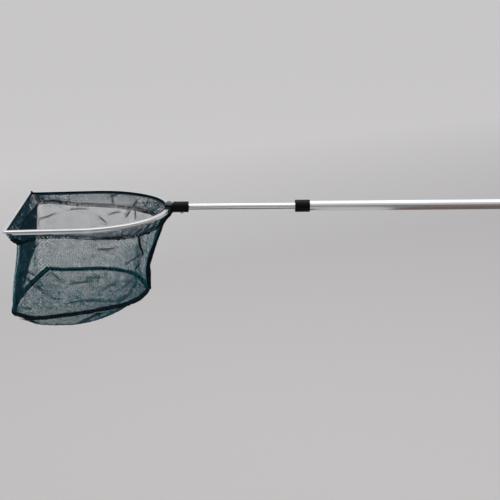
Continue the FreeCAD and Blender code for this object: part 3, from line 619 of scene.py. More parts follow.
@dataclass
class Pole:
    """The two tubes, the collar between them and the grip."""
    outer_radius: float = 12.5
    outer_wall: float = 1.2
    inner_radius: float = 8.0
    inner_wall: float = 1.0
    rim_round: float = 0.25
    mouth_round: float = 0.3
    bore_round: float = 0.2
    press_gap: float = 0.03
    collar_radius: float = 14.5
    collar_chamfer: float = 1.2
    collar_mouth: float = 8.5
    collar_nose: float = 5.0
    collar_chamfer_rounds: Pair = (0.4, 0.5)
    grip_radius: float = 16.0
    grip_edge: float = 2.4
    groove_depth: float = 1.2
    groove_width: float = 2.5
    groove_pitch: float = 6.0
    grooves: int = 3
    groove_lean: float = 0.3
    groove_rounds: Pair = (0.6, 0.5)
    facets: int = 128

    def tube(self, name: str, node: str, radius: float, wall: float) -> Piece:
        """Open tube between the ends of its node, with rims broken by a small round.

        Args:
            name: the piece's name.
            node: the CAD node that it stands for.
            radius: outside.
            wall: its thickness.

        Returns:
            The dressed tube.
        """
        start, end = reach_of(node)
        bore = radius - wall
        rim = self.rim_round
        section = rounded_section([Corner(start, bore, rim), Corner(end, bore, rim),
                                   Corner(end, radius, rim), Corner(start, radius, rim)])
        return DRAWN_TUBE.dress(turned(name, section, self.facets))

    def collar(self) -> Piece:
        """Black collar with chamfered ends and a narrower mouth round the inner tube."""
        start, end = reach_of("pole_collar")
        bore = self.outer_radius + self.press_gap
        nose = start + self.collar_nose
        cut = self.collar_chamfer
        low, high = self.collar_chamfer_rounds
        section = rounded_section([
            Corner(start, self.collar_mouth, self.mouth_round), Corner(nose, self.collar_mouth),
            Corner(nose, bore), Corner(end, bore, self.bore_round),
            Corner(end, self.collar_radius - cut, low), Corner(end - cut, self.collar_radius, high),
            Corner(start + cut, self.collar_radius, high), Corner(start, self.collar_radius - cut, low)], 4)
        return MOULDED_BLACK.dress(turned("collar", section))

    def grip(self) -> Piece:
        """Foam rubber sleeve with rounded ends and three grooves at each end."""
        start, end = reach_of("grip")
        bore = self.outer_radius + self.press_gap
        floor = self.grip_radius - self.groove_depth
        edge_round, floor_round = self.groove_rounds
        first = [Corner(start, bore, self.mouth_round), Corner(start, self.grip_radius, self.grip_edge)]
        for index in range(self.grooves):
            near = start + (index + 1) * self.groove_pitch
            far = near + self.groove_width
            first += [Corner(near, self.grip_radius, edge_round),
                      Corner(near + self.groove_lean, floor, floor_round),
                      Corner(far - self.groove_lean, floor, floor_round),
                      Corner(far, self.grip_radius, edge_round)]
        mirrored = [replace(corner, first=start + end - corner.first) for corner in reversed(first)]
        section = rounded_section(first + mirrored, 5)
        return RIBBED_RUBBER.dress(turned("grip_sleeve", section, self.facets))

    def build(self) -> None:
        """Make every piece of the pole and let each ride on its body."""
        settle(self.tube("outer_pole", "outer_tube", self.outer_radius, self.outer_wall), Body.HANDLE,
               "outer_tube")
        settle(self.tube("inner_pole", "inner_tube", self.inner_radius, self.inner_wall), Body.NET_HEAD,
               "inner_tube")
        settle(self.collar(), Body.HANDLE, "pole_collar")
        settle(self.grip(), Body.HANDLE, "grip")


# Hoop

@dataclass
class Hoop:
    """Aluminium channel bent to a D, its rope, and the frame in which it hangs from the hub."""
    inside_length: float = 345.0
    half_width: float = 160.0
    straight_length: float = 159.0
    roundness: float = 0.875
    corner_radius: float = 2.0
    droop_degrees: float = 1.03
    rise: float = 1.5
    depth: float = 10.0
    height: float = 9.0
    wall: float = 1.4
    lip: float = 0.9
    outer_round: float = 2.4
    groove_drop: float = 2.9
    groove_width: float = 2.0
    groove_depth: float = 0.9
    groove_tilt: float = 0.2
    groove_slant: float = 0.1
    low_round: float = 1.0
    low_edge_rise: float = 1.8
    edge_round: float = 0.3
    lip_round: float = 0.25
    fine_round: float = 0.2
    groove_round: float = 0.15
    notch_length: float = 14.0
    notch_spread: float = 4.0
    notch_left: float = 0.04
    arc_step: float = 2.5
    corner_step: float = 2.5 / 6
    straight_points: int = 66
    sharp_degrees: float = 35.0
    rope_facets: int = 14
    rope_radius: float = 3.0
    rope_end_gap: float = 19.0
    rope_side_gap: float = 0.1
    rope_step: float = 1.6
    rope_strands: int = 3
    rope_lay: float = 14.0
    rope_hollow: float = 0.09
    hub_x: float = field(init=False)

    def __post_init__(self) -> None:
        """Find the hub end of the hoop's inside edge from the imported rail, whose far end is its low edge."""
        end = reach_of("frame_rail")[1]
        droop = math.radians(self.droop_degrees)
        low_reach = (self.height - self.low_edge_rise) * math.sin(droop)
        self.hub_x = end - self.depth * math.cos(droop) - low_reach

    def hang(self, points: Array) -> Array:
        """Take points of the hoop's own frame to their place: turned by the droop, then moved to the hub.

        Along = along cos a - up sin a, up = along sin a + up cos a, with a the droop.
        """
        droop = math.radians(self.droop_degrees)
        along = points[..., 0] * math.cos(droop) - points[..., 2] * math.sin(droop)
        upward = points[..., 0] * math.sin(droop) + points[..., 2] * math.cos(droop)
        return np.stack([along + self.hub_x, points[..., 1], upward + self.rise], -1)

    def half_plan(self) -> tuple[Array, Array]:
        """Inside edge of the hoop's near half in plan, from the hub to the middle of the front bar.

        It is a rear arc about (-r, 0), a side arc that meets it smoothly, a straight line, a small corner
        and half the front bar. The side arc's radius follows from the half width and the run.

        Returns:
            Places (n, 2) and outward directions (n, 2).
        """
        straight_end = self.straight_length - self.inside_length
        run = -straight_end
        rear_radius = self.roundness * self.half_width
        side_radius = (((run - rear_radius) ** 2 + self.half_width ** 2 - rear_radius ** 2)
                       / (2 * (self.half_width - rear_radius)))
        rear_centre = np.array([-rear_radius, 0.0])
        side_centre = np.array([straight_end, side_radius - self.half_width])
        way = rear_centre - side_centre
        meeting = math.atan2(way[1], way[0])
        corner_centre = np.array([self.corner_radius - self.inside_length,
                                  self.corner_radius - self.half_width])
        spans = []
        for centre, radius, start, end, step in (
                (rear_centre, rear_radius, 0.0, meeting, self.arc_step),
                (side_centre, side_radius, meeting, -math.pi / 2, self.arc_step),
                (corner_centre, self.corner_radius, -math.pi / 2, -math.pi, self.corner_step)):
            count = max(2, math.ceil(abs(end - start) * radius / step))
            angle = np.linspace(start, end, count + 1)
            outward = np.stack([np.cos(angle), np.sin(angle)], -1)
            spans.append((centre + radius * outward, outward))
        straight = np.linspace(spans[1][0][-1], spans[2][0][0], self.straight_points)[1:-1]
        bar_end = np.array([-self.inside_length, 0.0])
        bar = np.linspace(spans[2][0][-1], bar_end, self.straight_points)[1:]
        plan = np.concatenate([spans[0][0], spans[1][0][1:], straight, spans[2][0], bar])
        outward = np.concatenate([spans[0][1], spans[1][1][1:], np.tile([0.0, -1.0], (len(straight), 1)),
                                  spans[2][1], np.tile([-1.0, 0.0], (len(bar), 1))])
        return plan, outward

    def plan(self) -> tuple[Array, Array]:
        """Inside edge of the whole hoop, from the hub along the near side and back along the far one."""
        half, outward = self.half_plan()
        flip = np.array([1.0, -1.0])
        return (np.concatenate([half, half[-2::-1] * flip]),
                np.concatenate([outward, outward[-2::-1] * flip]))

    def route(self) -> Route:
        """The inside edge as a route in its hung place: outwards first, upwards second."""
        plan, outward = self.plan()
        level = np.zeros(len(plan))
        places = self.hang(np.column_stack([plan, level]))
        origin = self.hang(np.zeros(3))
        first = self.hang(np.column_stack([outward, level])) - origin
        second = np.tile(self.hang(UP) - origin, (len(plan), 1))
        return Route(places, first, second)

    def section(self) -> Array:
        """Channel section, outwards and upwards from the top of the inside edge.

        The groove's floor leans out a little towards its lower edge.
        """
        out, low = self.depth, -self.height
        skin, lip = self.wall, self.wall + self.lip
        web = out - skin
        groove = -self.groove_drop
        groove_end = groove - self.groove_width
        floor = out - self.groove_depth
        edge, fine, tight, slant = self.edge_round, self.fine_round, self.groove_round, self.groove_slant
        return rounded_section([
            Corner(0.0, 0.0, edge), Corner(out, 0.0, self.outer_round),
            Corner(out, groove, edge), Corner(floor, groove - slant, tight),
            Corner(floor + self.groove_tilt, groove_end + slant, tight), Corner(out, groove_end, edge),
            Corner(out, low, self.low_round), Corner(0.0, low, edge),
            Corner(0.0, low + lip, self.lip_round), Corner(skin, low + lip, fine),
            Corner(skin, low + skin, fine), Corner(web, low + skin, edge),
            Corner(web, -skin, edge), Corner(skin, -skin, fine),
            Corner(skin, -lip, fine), Corner(0.0, -lip, self.lip_round)], 4)

    def rail(self) -> Piece:
        """The channel, its lower flange drawn up to the groove round the two front corners.

        At a distance d past the notch's end, what lies below the groove keeps the share s + (1 - s) e(d),
        with s the share that the notch leaves and e a smooth step.
        """
        plan = self.plan()[0]
        outline = np.tile(self.section(), (len(plan), 1, 1))
        corner = np.array([-self.inside_length - self.depth, self.half_width + self.depth])
        reach = np.abs(np.abs(plan) - np.abs(corner)).max(-1)
        left = self.notch_left + (1 - self.notch_left) * eased(
            (reach - self.depth - self.notch_length + self.notch_spread / 2) / self.notch_spread)
        floor = -self.groove_drop - self.groove_width
        below = np.minimum(outline[..., 1] - floor, 0.0)
        outline[..., 1] = np.where(below < 0, floor + below * left[:, None], outline[..., 1])
        return HOOP_SKIN.dress(carried("hoop_channel", self.route(), outline, self.sharp_degrees))

    def rope(self) -> Piece:
        """Laid cord inside the channel: three strands that wind round each other.

        The radius is r (1 - h + h |cos|) of three lobes that turn once in a lay, with h how deep they go.
        """
        route = self.route()
        even = np.arange(self.rope_end_gap, route.length - self.rope_end_gap, self.rope_step)
        angle = angles_round(self.rope_facets)
        turn = angle[None] + even[:, None] / self.rope_lay * FULL_TURN
        lobes = np.abs(np.cos(self.rope_strands / 2 * turn))
        radius = self.rope_radius * (1 - self.rope_hollow + self.rope_hollow * lobes)
        centre_out = self.wall + self.rope_radius + self.rope_side_gap
        section = np.stack([centre_out + radius * np.cos(angle),
                            radius * np.sin(angle) - self.height / 2], -1)
        return LAID_CORD.dress(carried("hem_cord", route.at(even), section, None))

    def build(self) -> None:
        """Make the rail and the rope."""
        settle(self.rail(), Body.NET_HEAD, "frame_rail")
        settle(self.rope(), Body.NET_HEAD, "hem_rope")


# Cloth of the bag

@dataclass(frozen=True)
class Station:
    """Line down the bag's wall, from the hem's seam through two heights to the bottom seam.

    Places are from the hub end of the hoop's inside edge, on the pole's axis.
    """
    hem: Point
    upper: Point
    lower: Point
    seam: Point
    sharpness: float = 0.0


STATIONS = (
    Station((-11, 0, -31), (-39, 0, -96), (-53, 0, -160), (-50, 0, -203)),
    Station((-45, -72, -38), (-62, -66, -104), (-66, -60, -165), (-61, -50, -203)),
    Station((-84, -110, -36), (-90, -112, -102), (-92, -114, -165), (-88, -110, -198)),
    Station((-150, -134, -31), (-150, -140, -97), (-150, -149, -168), (-148, -149, -197)),
    Station((-236, -135, -26), (-237, -145, -95), (-239, -156, -172), (-239, -155, -209)),
    Station((-287, -137, -28), (-294, -146, -96), (-302, -154, -178), (-304, -153, -213)),
    Station((-318, -146, -39), (-327, -148, -98), (-342, -150, -178), (-341, -150, -204), 0.4),
    Station((-333, -56, -34), (-335, -88, -96), (-347, -100, -170), (-351, -98, -204)),
    Station((-328, 138, -31), (-328, 98, -94), (-340, 32, -168), (-348, -26, -202), 0.4),
    Station((-325, 146, -28), (-321, 145, -92), (-316, 143, -165), (-311, 140, -196), 0.9),
    Station((-297, 136, -20), (-292, 141, -92), (-284, 148, -165), (-282, 149, -202)),
    Station((-240, 136, -27), (-240, 141, -98), (-240, 148, -168), (-240, 151, -202)),
    Station((-150, 132, -31), (-150, 135, -100), (-152, 140, -168), (-152, 141, -199)),
    Station((-91, 110, -32), (-94, 106, -100), (-100, 110, -165), (-101, 116, -200)),
    Station((-34, 42, -26), (-56, 50, -100), (-68, 47, -165), (-60, 46, -203)),
)
CREASE_STATION = 8                        # where the front panel turns to the far wall
CORNER_SHARE = 0.635                      # share of the way round at which the far front corner is
LEVEL_SHARES = (0.0, 0.36, 0.8, 1.0)      # share of the height at which each of a station's places is
LEVEL_SHARPNESS = (0.5, 0.4, 0.8, 1.0)    # how much of the station's sharpness each of them takes


def ring_through(places: Array, sharpness: Array, steps: int) -> Array:
    """Closed smooth curves through given places.

    Each span is the cubic with given ends and end slopes. A slope is the mean of the two chords' directions,
    each weighted by the other chord's length, and sharpness takes it towards zero.

    Args:
        places: (levels, stations, 3).
        sharpness: (levels, stations) 0 for a smooth pass and 1 for a corner.
        steps: points of each span.

    Returns:
        (levels, stations * steps, 3) points.
    """
    chord = np.roll(places, -1, axis=1) - places
    length = np.linalg.norm(chord, axis=-1, keepdims=True)
    ahead = chord / length
    behind = np.roll(ahead, 1, axis=1)
    length_behind = np.roll(length, 1, axis=1)
    slope = (ahead * length_behind + behind * length) / (length + length_behind)
    slope = slope * (1 - sharpness)[..., None]
    share = (np.arange(steps) / steps)[:, None]
    hermite = [2 * share ** 3 - 3 * share ** 2 + 1, share ** 3 - 2 * share ** 2 + share,
               3 * share ** 2 - 2 * share ** 3, share ** 3 - share ** 2]
    following = np.roll(places, -1, axis=1)
    next_slope = np.roll(slope, -1, axis=1)
    curve = (hermite[0] * places[:, :, None] + hermite[1] * (slope * length)[:, :, None]
             + hermite[2] * following[:, :, None] + hermite[3] * (next_slope * length)[:, :, None])
    return curve.reshape(len(places), -1, 3)


def level_weights(shares: Array, levels: tuple[float, ...]) -> Array:
    """Weights of each level at each share of the height: the cubic that passes through all four."""
    weights = np.ones((len(shares), len(levels)))
    for index, level in enumerate(levels):
        for other in levels[:index] + levels[index + 1:]:
            weights[:, index] *= (shares - other) / (level - other)
    return weights


def even_row(row: Array, count: int) -> Array:
    """Closed row of points laid out again at equal steps, count + 1 of them with the first repeated."""
    closed = np.concatenate([row, row[:1]])
    known = distances(closed)
    return read_at(np.linspace(0.0, known[-1], count + 1), known, closed)


def grid_normals(grid: Array) -> Array:
    """Normals of a grid whose first and last columns are one: column step crossed with row step."""
    wrapped = np.concatenate([grid[:, -2:-1], grid, grid[:, 1:2]], axis=1)
    across = wrapped[:, 2:] - wrapped[:, :-2]
    down = np.gradient(grid, axis=0)
    return unit(np.cross(across, down))


@dataclass
class Cloth:
    """Sheet as a fine grid of points, with its normals, that strands are laid on."""
    points: Array
    normals: Array

    @classmethod
    def from_grid(cls, grid: Array) -> "Cloth":
        """Cloth from a grid whose columns go round and rows go down."""
        return cls(grid, grid_normals(grid))

    def raised(self, height: Array) -> "Cloth":
        """The same cloth with each point moved along its normal."""
        return Cloth.from_grid(self.points + self.normals * height[..., None])

    def at(self, around: Array, down: Array) -> tuple[Array, Array]:
        """Places and normals between the grid's points.

        Args:
            around: share of the way round, any number.
            down: share of the way down, 0 to 1.

        Returns:
            Places and unit normals, blended from the four nearest grid points.
        """
        rows, columns = self.points.shape[:2]
        column = (around % 1.0) * (columns - 1)
        row = np.clip(down, 0.0, 1.0) * (rows - 1)
        left = np.minimum(column.astype(int), columns - 2)
        top = np.minimum(row.astype(int), rows - 2)
        right_share = (column - left)[..., None]
        low_share = (row - top)[..., None]
        results = []
        for values in (self.points, self.normals):
            upper = values[top, left] * (1 - right_share) + values[top, left + 1] * right_share
            lower = values[top + 1, left] * (1 - right_share) + values[top + 1, left + 1] * right_share
            results.append(upper * (1 - low_share) + lower * low_share)
        return results[0], unit(results[1])


# Net

@dataclass(frozen=True)
class Gather:
    """Stretch round the bag whose thread is thicker or thinner: its middle, half width and gain.

    The first two are shares of the way round.
    """
    middle: float
    half_width: float
    gain: float


def gathered(around: Array, gathers: Sequence[Gather]) -> Array:
    """How many times its thickness the thread has at shares of the way round.

    It is 1 plus, for each gather, gain times exp(-(d / w)^4), with d the distance from its middle.
    """
    total = np.ones_like(around)
    for gather in gathers:
        away = (around - gather.middle + 0.5) % 1.0 - 0.5
        total += gather.gain * np.exp(-(away / gather.half_width) ** 4)
    return total


@dataclass(frozen=True)
class Wave:
    """Wave of the cloth: height sin(n a + s w + t), with a the angle round the bag and w the way down it."""
    height: float
    turns: int
    slant: float = 0.0
    start: float = 0.0


def wavy(waves: Sequence[Wave], around: Array, down: Array) -> Array:
    """Sum of waves at angles round the bag and shares of the way down."""
    return sum(wave.height * np.sin(wave.turns * around + wave.slant * down + wave.start) for wave in waves)


@dataclass(frozen=True)
class Mesh:
    """Knotless mesh: strands that zigzag and touch their neighbours by turns.

    Lengths are in millimetres. Swelling, patches and knot are shares of the thread's thickness.
    """
    pitch: float
    period: float
    thread: float
    finish: Finish
    gathers: tuple[Gather, ...] = ()
    top_gather: float = 0.0
    flat: float = 0.2
    sway: float = 0.5
    lift: float = 0.8
    swelling: float = 0.38
    patches: float = 0.1
    knot: float = 0.28
    between_knots: float = -0.5
    limits: Pair = (0.35, 2.1)

    @property
    def swing(self) -> float:
        """How far a strand swings to each side, so that it just touches its neighbour."""
        return (self.pitch - self.thread) / 2

    def steps(self, length: float) -> Array:
        """Shares of the way along a strand, four to a period: the ends of its two flats."""
        count = max(2, round(length / self.period))
        phase = np.array([-self.flat, self.flat, 1 - self.flat, 1 + self.flat]) / 2
        return ((np.arange(count)[:, None] + phase) / count).ravel()

    def uneven(self, shape: tuple[int, int], seed: int) -> tuple[Array, Array, Array]:
        """How the net differs from a regular one, for strands by steps.

        Args:
            shape: number of strands and of steps.
            seed: start of the draw.

        Returns:
            Shift across the strands and out of the cloth in millimetres, and radius of the thread.
        """
        across = self.sway * soft_noise(shape, (0, 1), seed)
        outward = self.lift * self.sway * soft_noise(shape, (0, 1), seed + 1)
        knots = 1 + self.knot * np.where(np.arange(shape[1]) % 2 < 1, 1.0, self.between_knots)
        swelling = 1 + self.swelling * soft_noise(shape, (0, 0), seed + 2)
        swelling += self.patches * soft_noise(shape, (3, 5), seed + 3)
        radius = self.thread / 2 * np.clip(knots * swelling, *self.limits)
        return across, outward, radius

    def side(self, index: Array, length: int) -> Array:
        """Which side numbered strands are on at each step: two steps one way, then two the other."""
        along = np.where(np.arange(length) % 4 < 2, 1.0, -1.0)
        return np.where(index % 2 < 1, 1.0, -1.0)[:, None] * along


class Edge(Enum):
    """Side of the front crease that a panel keeps: both, the front's side or the far wall's side."""
    NONE = 0
    FRONT = -1
    FAR = 1


@dataclass(frozen=True)
class Panel:
    """Panel of net: its name, the CAD node that it stands for, its mesh and which part of the cloth it is.

    Start and end are shares of the way round. Panels that meet have the same seed, so that their strands do.
    """
    name: str
    node: str
    mesh: Mesh
    seed: int
    start: float = 0.0
    end: float = 1.0
    edge: Edge = Edge.NONE


@dataclass(frozen=True)
class Layer:
    """Layer of the hem: its name, seed, gaps to the hem's middle at its top and foot, and its waves."""
    name: str
    seed: int
    top_gap: float
    foot_gap: float
    waves: tuple[Wave, ...]


REAR_SPREAD = Gather(0.0, 0.09, -0.3)
CORNER_SPREAD = Gather(0.632, 0.022, -0.5)
NEAR_MESH = Mesh(4.4, 7.2, 1.40, NET_THREAD, sway=0.65, swelling=0.5,
                 gathers=(REAR_SPREAD, Gather(0.045, 0.022, 0.2), Gather(0.395, 0.035, -0.38)))
FAR_MESH = Mesh(4.2, 7.0, 1.02, NET_THREAD, gathers=(REAR_SPREAD, Gather(0.0, 0.03, -0.2), CORNER_SPREAD))
# The front panel's thread takes painted shade: a darker copy of the net's colour for threads that shade each
# other edge on.
FRONT_MESH = Mesh(2.4, 5.0, 1.55, FRONT_NET_SHADE, top_gather=0.5)
BOTTOM_MESH = Mesh(4.0, 6.6, 1.12, BOTTOM_THREAD)
HEM_MESH = Mesh(3.6, 6.0, 1.03, HEM_THREAD, swelling=0.8, knot=0.4,
                gathers=(Gather(0.0, 0.07, 0.15), Gather(0.14, 0.07, 0.05), Gather(0.28, 0.08, -0.38),
                         Gather(0.50, 0.12, 0.36)))

WALL_PANELS = (Panel("wall_near", "net_wall", NEAR_MESH, 11, 0.0, 0.433),
               Panel("wall_front", "net_wall", FRONT_MESH, 11, 0.433, 0.68, Edge.FRONT),
               Panel("wall_far", "net_wall", FAR_MESH, 11, 0.48, 1.0, Edge.FAR))
WALL_WAVES = (Wave(2.0, 9, 2.2), Wave(1.4, 17, -3.5, 1.1), Wave(0.9, 31, 4.0, 0.6))
HEM_OUTSIDE = Layer("hem_outside", 23, 1.6, 0.4, (Wave(0.9, 47), Wave(0.7, 83, 1.0), Wave(0.8, 23)))
HEM_INSIDE = Layer("hem_inside", 37, -1.2, -0.3,
                   (Wave(0.9, 47, 0.0, 1.7), Wave(0.7, 83, 1.0, 3.4), Wave(0.8, 23, 0.0, -1.7)))


def without_loners(keep: Array) -> Array:
    """Marks without the points that have no marked neighbour along their strand."""
    joined = keep[:, :-1] & keep[:, 1:]
    return keep & (np.pad(joined, ((0, 0), (1, 0))) | np.pad(joined, ((0, 0), (0, 1))))


@dataclass
class Bag:
    """The net bag: hem, wall, bottom, seams and folds."""
    hoop: Hoop
    rows: int = 177
    columns: int = 1080
    span_steps: int = 60
    wave_fade: float = 0.8
    calm_depth: float = 0.9
    calm_reach: float = 0.03
    hem_rows: int = 44
    hem_girth_row: int = 20
    hem_lean: float = 1.35
    hem_fall: float = 1.25
    hem_fade: float = 0.7

    def anchor(self) -> Array:
        """Point that the stations are measured from."""
        return np.array([self.hoop.hub_x, 0.0, 0.0])

    def station_rows(self) -> Array:
        """Wall of the bag: the four rings, blended down the height."""
        levels = np.array([[getattr(station, level) for station in STATIONS]
                           for level in ("hem", "upper", "lower", "seam")], float)
        sharpness = np.outer(LEVEL_SHARPNESS, [station.sharpness for station in STATIONS])
        rings = ring_through(levels, sharpness, self.span_steps)
        weights = level_weights(np.linspace(0.0, 1.0, self.rows), LEVEL_SHARES)
        return np.einsum("rl,lcx->rcx", weights, rings)

    def wall_grid(self) -> Array:
        """Wall of the bag, its rows laid out evenly round."""
        return np.stack([even_row(row, self.columns) for row in self.station_rows()]) + self.anchor()

    def crease(self) -> Array:
        """Share of the way round, for each row, of the crease where the front panel turns to the far wall."""
        rows = self.station_rows()
        steps = np.linalg.norm(np.roll(rows, -1, axis=1) - rows, axis=-1)
        before = steps[:, :CREASE_STATION * self.span_steps].sum(axis=1)
        return before / steps.sum(axis=1)

    def wall(self) -> Cloth:
        """The wall with its slow waves, none at the two seams and next to none at the far front corner."""
        grid = self.wall_grid()
        share = np.linspace(0.0, 1.0, grid.shape[1])[None]
        down = np.linspace(0.0, 1.0, grid.shape[0])[:, None]
        calm = 1 - self.calm_depth * np.exp(-((share - CORNER_SHARE) / self.calm_reach) ** 2)
        fade = np.sin(math.pi * down) ** self.wave_fade
        return Cloth.from_grid(grid).raised(wavy(WALL_WAVES, share * FULL_TURN, down) * calm * fade)

    def strand_panel(self, panel: Panel, cloth: Cloth, girth_row: int) -> Piece:
        """Panel of net on a cloth, its strands running down from one seam to the next.

        Args:
            panel: what it is made of and which part of the cloth it covers.
            cloth: what the strands lie on.
            girth_row: the cloth's row along which the pitch is measured.

        Returns:
            The dressed panel.
        """
        mesh = panel.mesh
        girth = line_length(cloth.points[girth_row])
        height = line_length(cloth.points[:, self.columns // 4])
        LOG.info("%s: girth %.0f mm, height %.0f mm", panel.name, girth, height)
        total = round(girth / mesh.pitch / 2) * 2
        index = np.arange(round(panel.start * total), round(panel.end * total))
        steps = mesh.steps(height)
        side = mesh.side(index, len(steps))
        shift, lift, radius = (values[index] for values in mesh.uneven((total, len(steps)), panel.seed))
        around = (index[:, None] + (side * mesh.swing + shift) / mesh.pitch) / total
        places, normals = cloth.at(around, np.broadcast_to(steps, around.shape))
        radius = radius * gathered(around, mesh.gathers) * (1 + mesh.top_gather * (1 - steps))
        crease = np.interp(steps, np.linspace(0.0, 1.0, self.rows), self.crease())
        keep = without_loners((around - crease) * panel.edge.value >= -0.5 / total)
        piece = strands(panel.name, places + normals * lift[..., None], normals, keep, radius)
        mesh.finish.dress(piece)
        return settle(piece, Body.NET_HEAD, panel.node)

    def hem_top(self, ring: Array) -> Array:
        """Points inside the channel that a ring of hem points hangs from, at the same bearing."""
        plan = self.hoop.plan()[0]
        level = np.full(len(plan), -self.hoop.height / 2)
        edge = self.hoop.hang(np.column_stack([plan, level]))
        centre = np.array([self.hoop.hub_x - self.hoop.inside_length / 2, 0.0])
        bearing = np.unwrap(np.arctan2(edge[:, 1] - centre[1], edge[:, 0] - centre[0]))
        wanted = np.unwrap(np.arctan2(ring[:, 1] - centre[1], ring[:, 0] - centre[0]))
        order = np.argsort(bearing)
        return read_at(wanted, bearing[order], edge[order], FULL_TURN)

    def hem(self, wall: Cloth, layer: Layer) -> Cloth:
        """One of the hem's two layers, from the channel down and inwards to the seam.

        It first falls, then leans in: along the way w it has gone w^lean of the way in and 1-(1-w)^fall of
        the way down. Its waves fade towards the rail and the seam.

        Args:
            wall: the bag's wall, whose first row is the seam.
            layer: which of the two it is.

        Returns:
            The layer.
        """
        seam = wall.points[0]
        top = self.hem_top(seam)
        way = np.linspace(0.0, 1.0, self.hem_rows)[:, None]
        inward = way[..., None] ** self.hem_lean
        downward = 1 - (1 - way) ** self.hem_fall
        grid = np.empty((len(way), len(seam), 3))
        grid[..., :2] = top[None, :, :2] * (1 - inward) + seam[None, :, :2] * inward
        grid[..., 2] = top[None, :, 2] * (1 - downward) + seam[None, :, 2] * downward
        around = np.linspace(0.0, FULL_TURN, len(seam))[None]
        gap = layer.top_gap * (1 - way) + layer.foot_gap
        fade = np.sin(math.pi * way) ** self.hem_fade
        return Cloth.from_grid(grid).raised(gap + wavy(layer.waves, around, way) * fade)

    def build(self) -> None:
        """Make the wall's panels, the hem, the bottom and the seams."""
        wall = self.wall()
        for panel in WALL_PANELS:
            self.strand_panel(panel, wall, self.rows // 2)
        outside, inside = (self.hem(wall, layer) for layer in (HEM_OUTSIDE, HEM_INSIDE))
        for layer, cloth in ((HEM_OUTSIDE, outside), (HEM_INSIDE, inside)):
            self.strand_panel(Panel(layer.name, "hem_band", HEM_MESH, layer.seed), cloth, self.hem_girth_row)
        bottom = BottomPanel(self, wall)
        bottom.build()
        Folds(self, {Sheet.WALL: wall, Sheet.HEM: inside}, bottom).build()
        Seams(self, wall, outside).build()


# Bottom of the bag

@dataclass
class BottomPanel:
    """Bottom of the bag: a panel that sags below its seam."""
    bag: Bag
    wall: Cloth
    lowest: Point = (-240.0, -98.0, -250.5)
    fall: float = 2.6
    reach_past_seam: float = 1.2
    edge_share: float = 0.995
    slope_step: float = 0.5
    seed: int = 53
    bunched_from: Pair = (-120.0, -210.0)
    bunched_within: Pair = (90.0, 120.0)
    bunching: float = 0.32
    rear_relief: float = 0.06

    def ring(self) -> Array:
        """The bottom seam's ring, without its repeated point."""
        return self.wall.points[-1][:-1]

    def centre(self) -> Array:
        """Lowest point of the panel."""
        return np.array(self.lowest) + self.bag.anchor()

    def depth_at(self, plan: Array) -> tuple[Array, Array]:
        """Height of the panel at points in plan, and how far out each lies.

        A point at share q of the way from the lowest point to the seam is at the lowest height plus q^p of
        the rise to the seam there.

        Args:
            plan: (..., 2) places.

        Returns:
            Heights and shares of the way out.
        """
        ring = self.ring()
        centre = self.centre()
        bearing = np.arctan2(ring[:, 1] - centre[1], ring[:, 0] - centre[0])
        order = np.argsort(bearing)
        reach = np.linalg.norm(ring[:, :2] - centre[:2], axis=1)
        offset = plan - centre[:2]
        wanted = np.arctan2(offset[..., 1], offset[..., 0])
        far = np.interp(wanted, bearing[order], reach[order], period=FULL_TURN)
        rim = np.interp(wanted, bearing[order], ring[order, 2], period=FULL_TURN)
        share = np.linalg.norm(offset, axis=-1) / far
        rise = (rim - centre[2]) * np.clip(share, 0.0, self.reach_past_seam) ** self.fall
        return centre[2] + rise, share

    def surface(self, plan: Array) -> tuple[Array, Array, Array]:
        """Places, normals and shares of the way out, at points in plan."""
        height, share = self.depth_at(plan)
        step = self.slope_step
        slope = [(self.depth_at(plan + np.array(shift) * step)[0] - height) / step
                 for shift in ((1.0, 0.0), (0.0, 1.0))]
        normals = unit(np.stack([slope[0], slope[1], -np.ones_like(height)], -1))
        return np.concatenate([plan, height[..., None]], -1), normals, share

    def half(self, name: str, near: bool) -> Piece:
        """Half of the panel, its strands running along the pole's way.

        Args:
            name: the piece's name.
            near: True for the half towards the camera.

        Returns:
            The dressed half.
        """
        mesh = BOTTOM_MESH
        ring = self.ring()
        low, high = ring[:, :2].min(0), ring[:, :2].max(0)
        middle = (low[1] + high[1]) / 2
        reach = (high[1] - low[1]) / 2
        count = int(reach / mesh.pitch) + 1
        index = np.arange(-count, 0) if near else np.arange(0, count)
        length = high[0] - low[0] + 2 * mesh.period
        steps = mesh.steps(length) * length + low[0] - mesh.period
        side = mesh.side(index, len(steps))
        shift, lift, radius = (values[index] for values in mesh.uneven((2 * count, len(steps)), self.seed))
        across = middle + index[:, None] * mesh.pitch + side * mesh.swing + shift
        plan = np.stack([np.broadcast_to(steps, across.shape), across], -1)
        places, normals, share = self.surface(plan)
        keep = without_loners(share < self.edge_share)
        radius = radius * self.gathering(plan - self.bag.anchor()[:2])
        piece = strands(name, places + normals * lift[..., None], normals, keep, radius)
        mesh.finish.dress(piece)
        return settle(piece, Body.NET_HEAD, "net_bottom")

    def gathering(self, plan: Array) -> Array:
        """How many times its thickness the thread has: most on the far side, a bit less at the rear."""
        beyond = eased((plan[..., 1] - self.bunched_from[0]) / self.bunched_within[0])
        rearwards = eased((plan[..., 0] - self.bunched_from[1]) / self.bunched_within[1])
        return 1.0 + self.bunching * beyond - self.rear_relief * rearwards * beyond

    def build(self) -> None:
        """Make both halves."""
        self.half("bottom_near", near=True)
        self.half("bottom_far", near=False)


# Folds

class Sheet(Enum):
    """Cloths that folds lie on."""
    WALL = "wall"
    HEM = "hem"
    BOTTOM = "bottom"


@dataclass(frozen=True)
class Fold:
    """Crease in the net, along which its strands bunch: where it runs and how many strands it gathers.

    The path is in shares round and down the cloth, or on the bottom in millimetres from the stations'
    origin along the pole and across it.
    """
    sheet: Sheet
    strands: int
    path: tuple[Pair, ...]


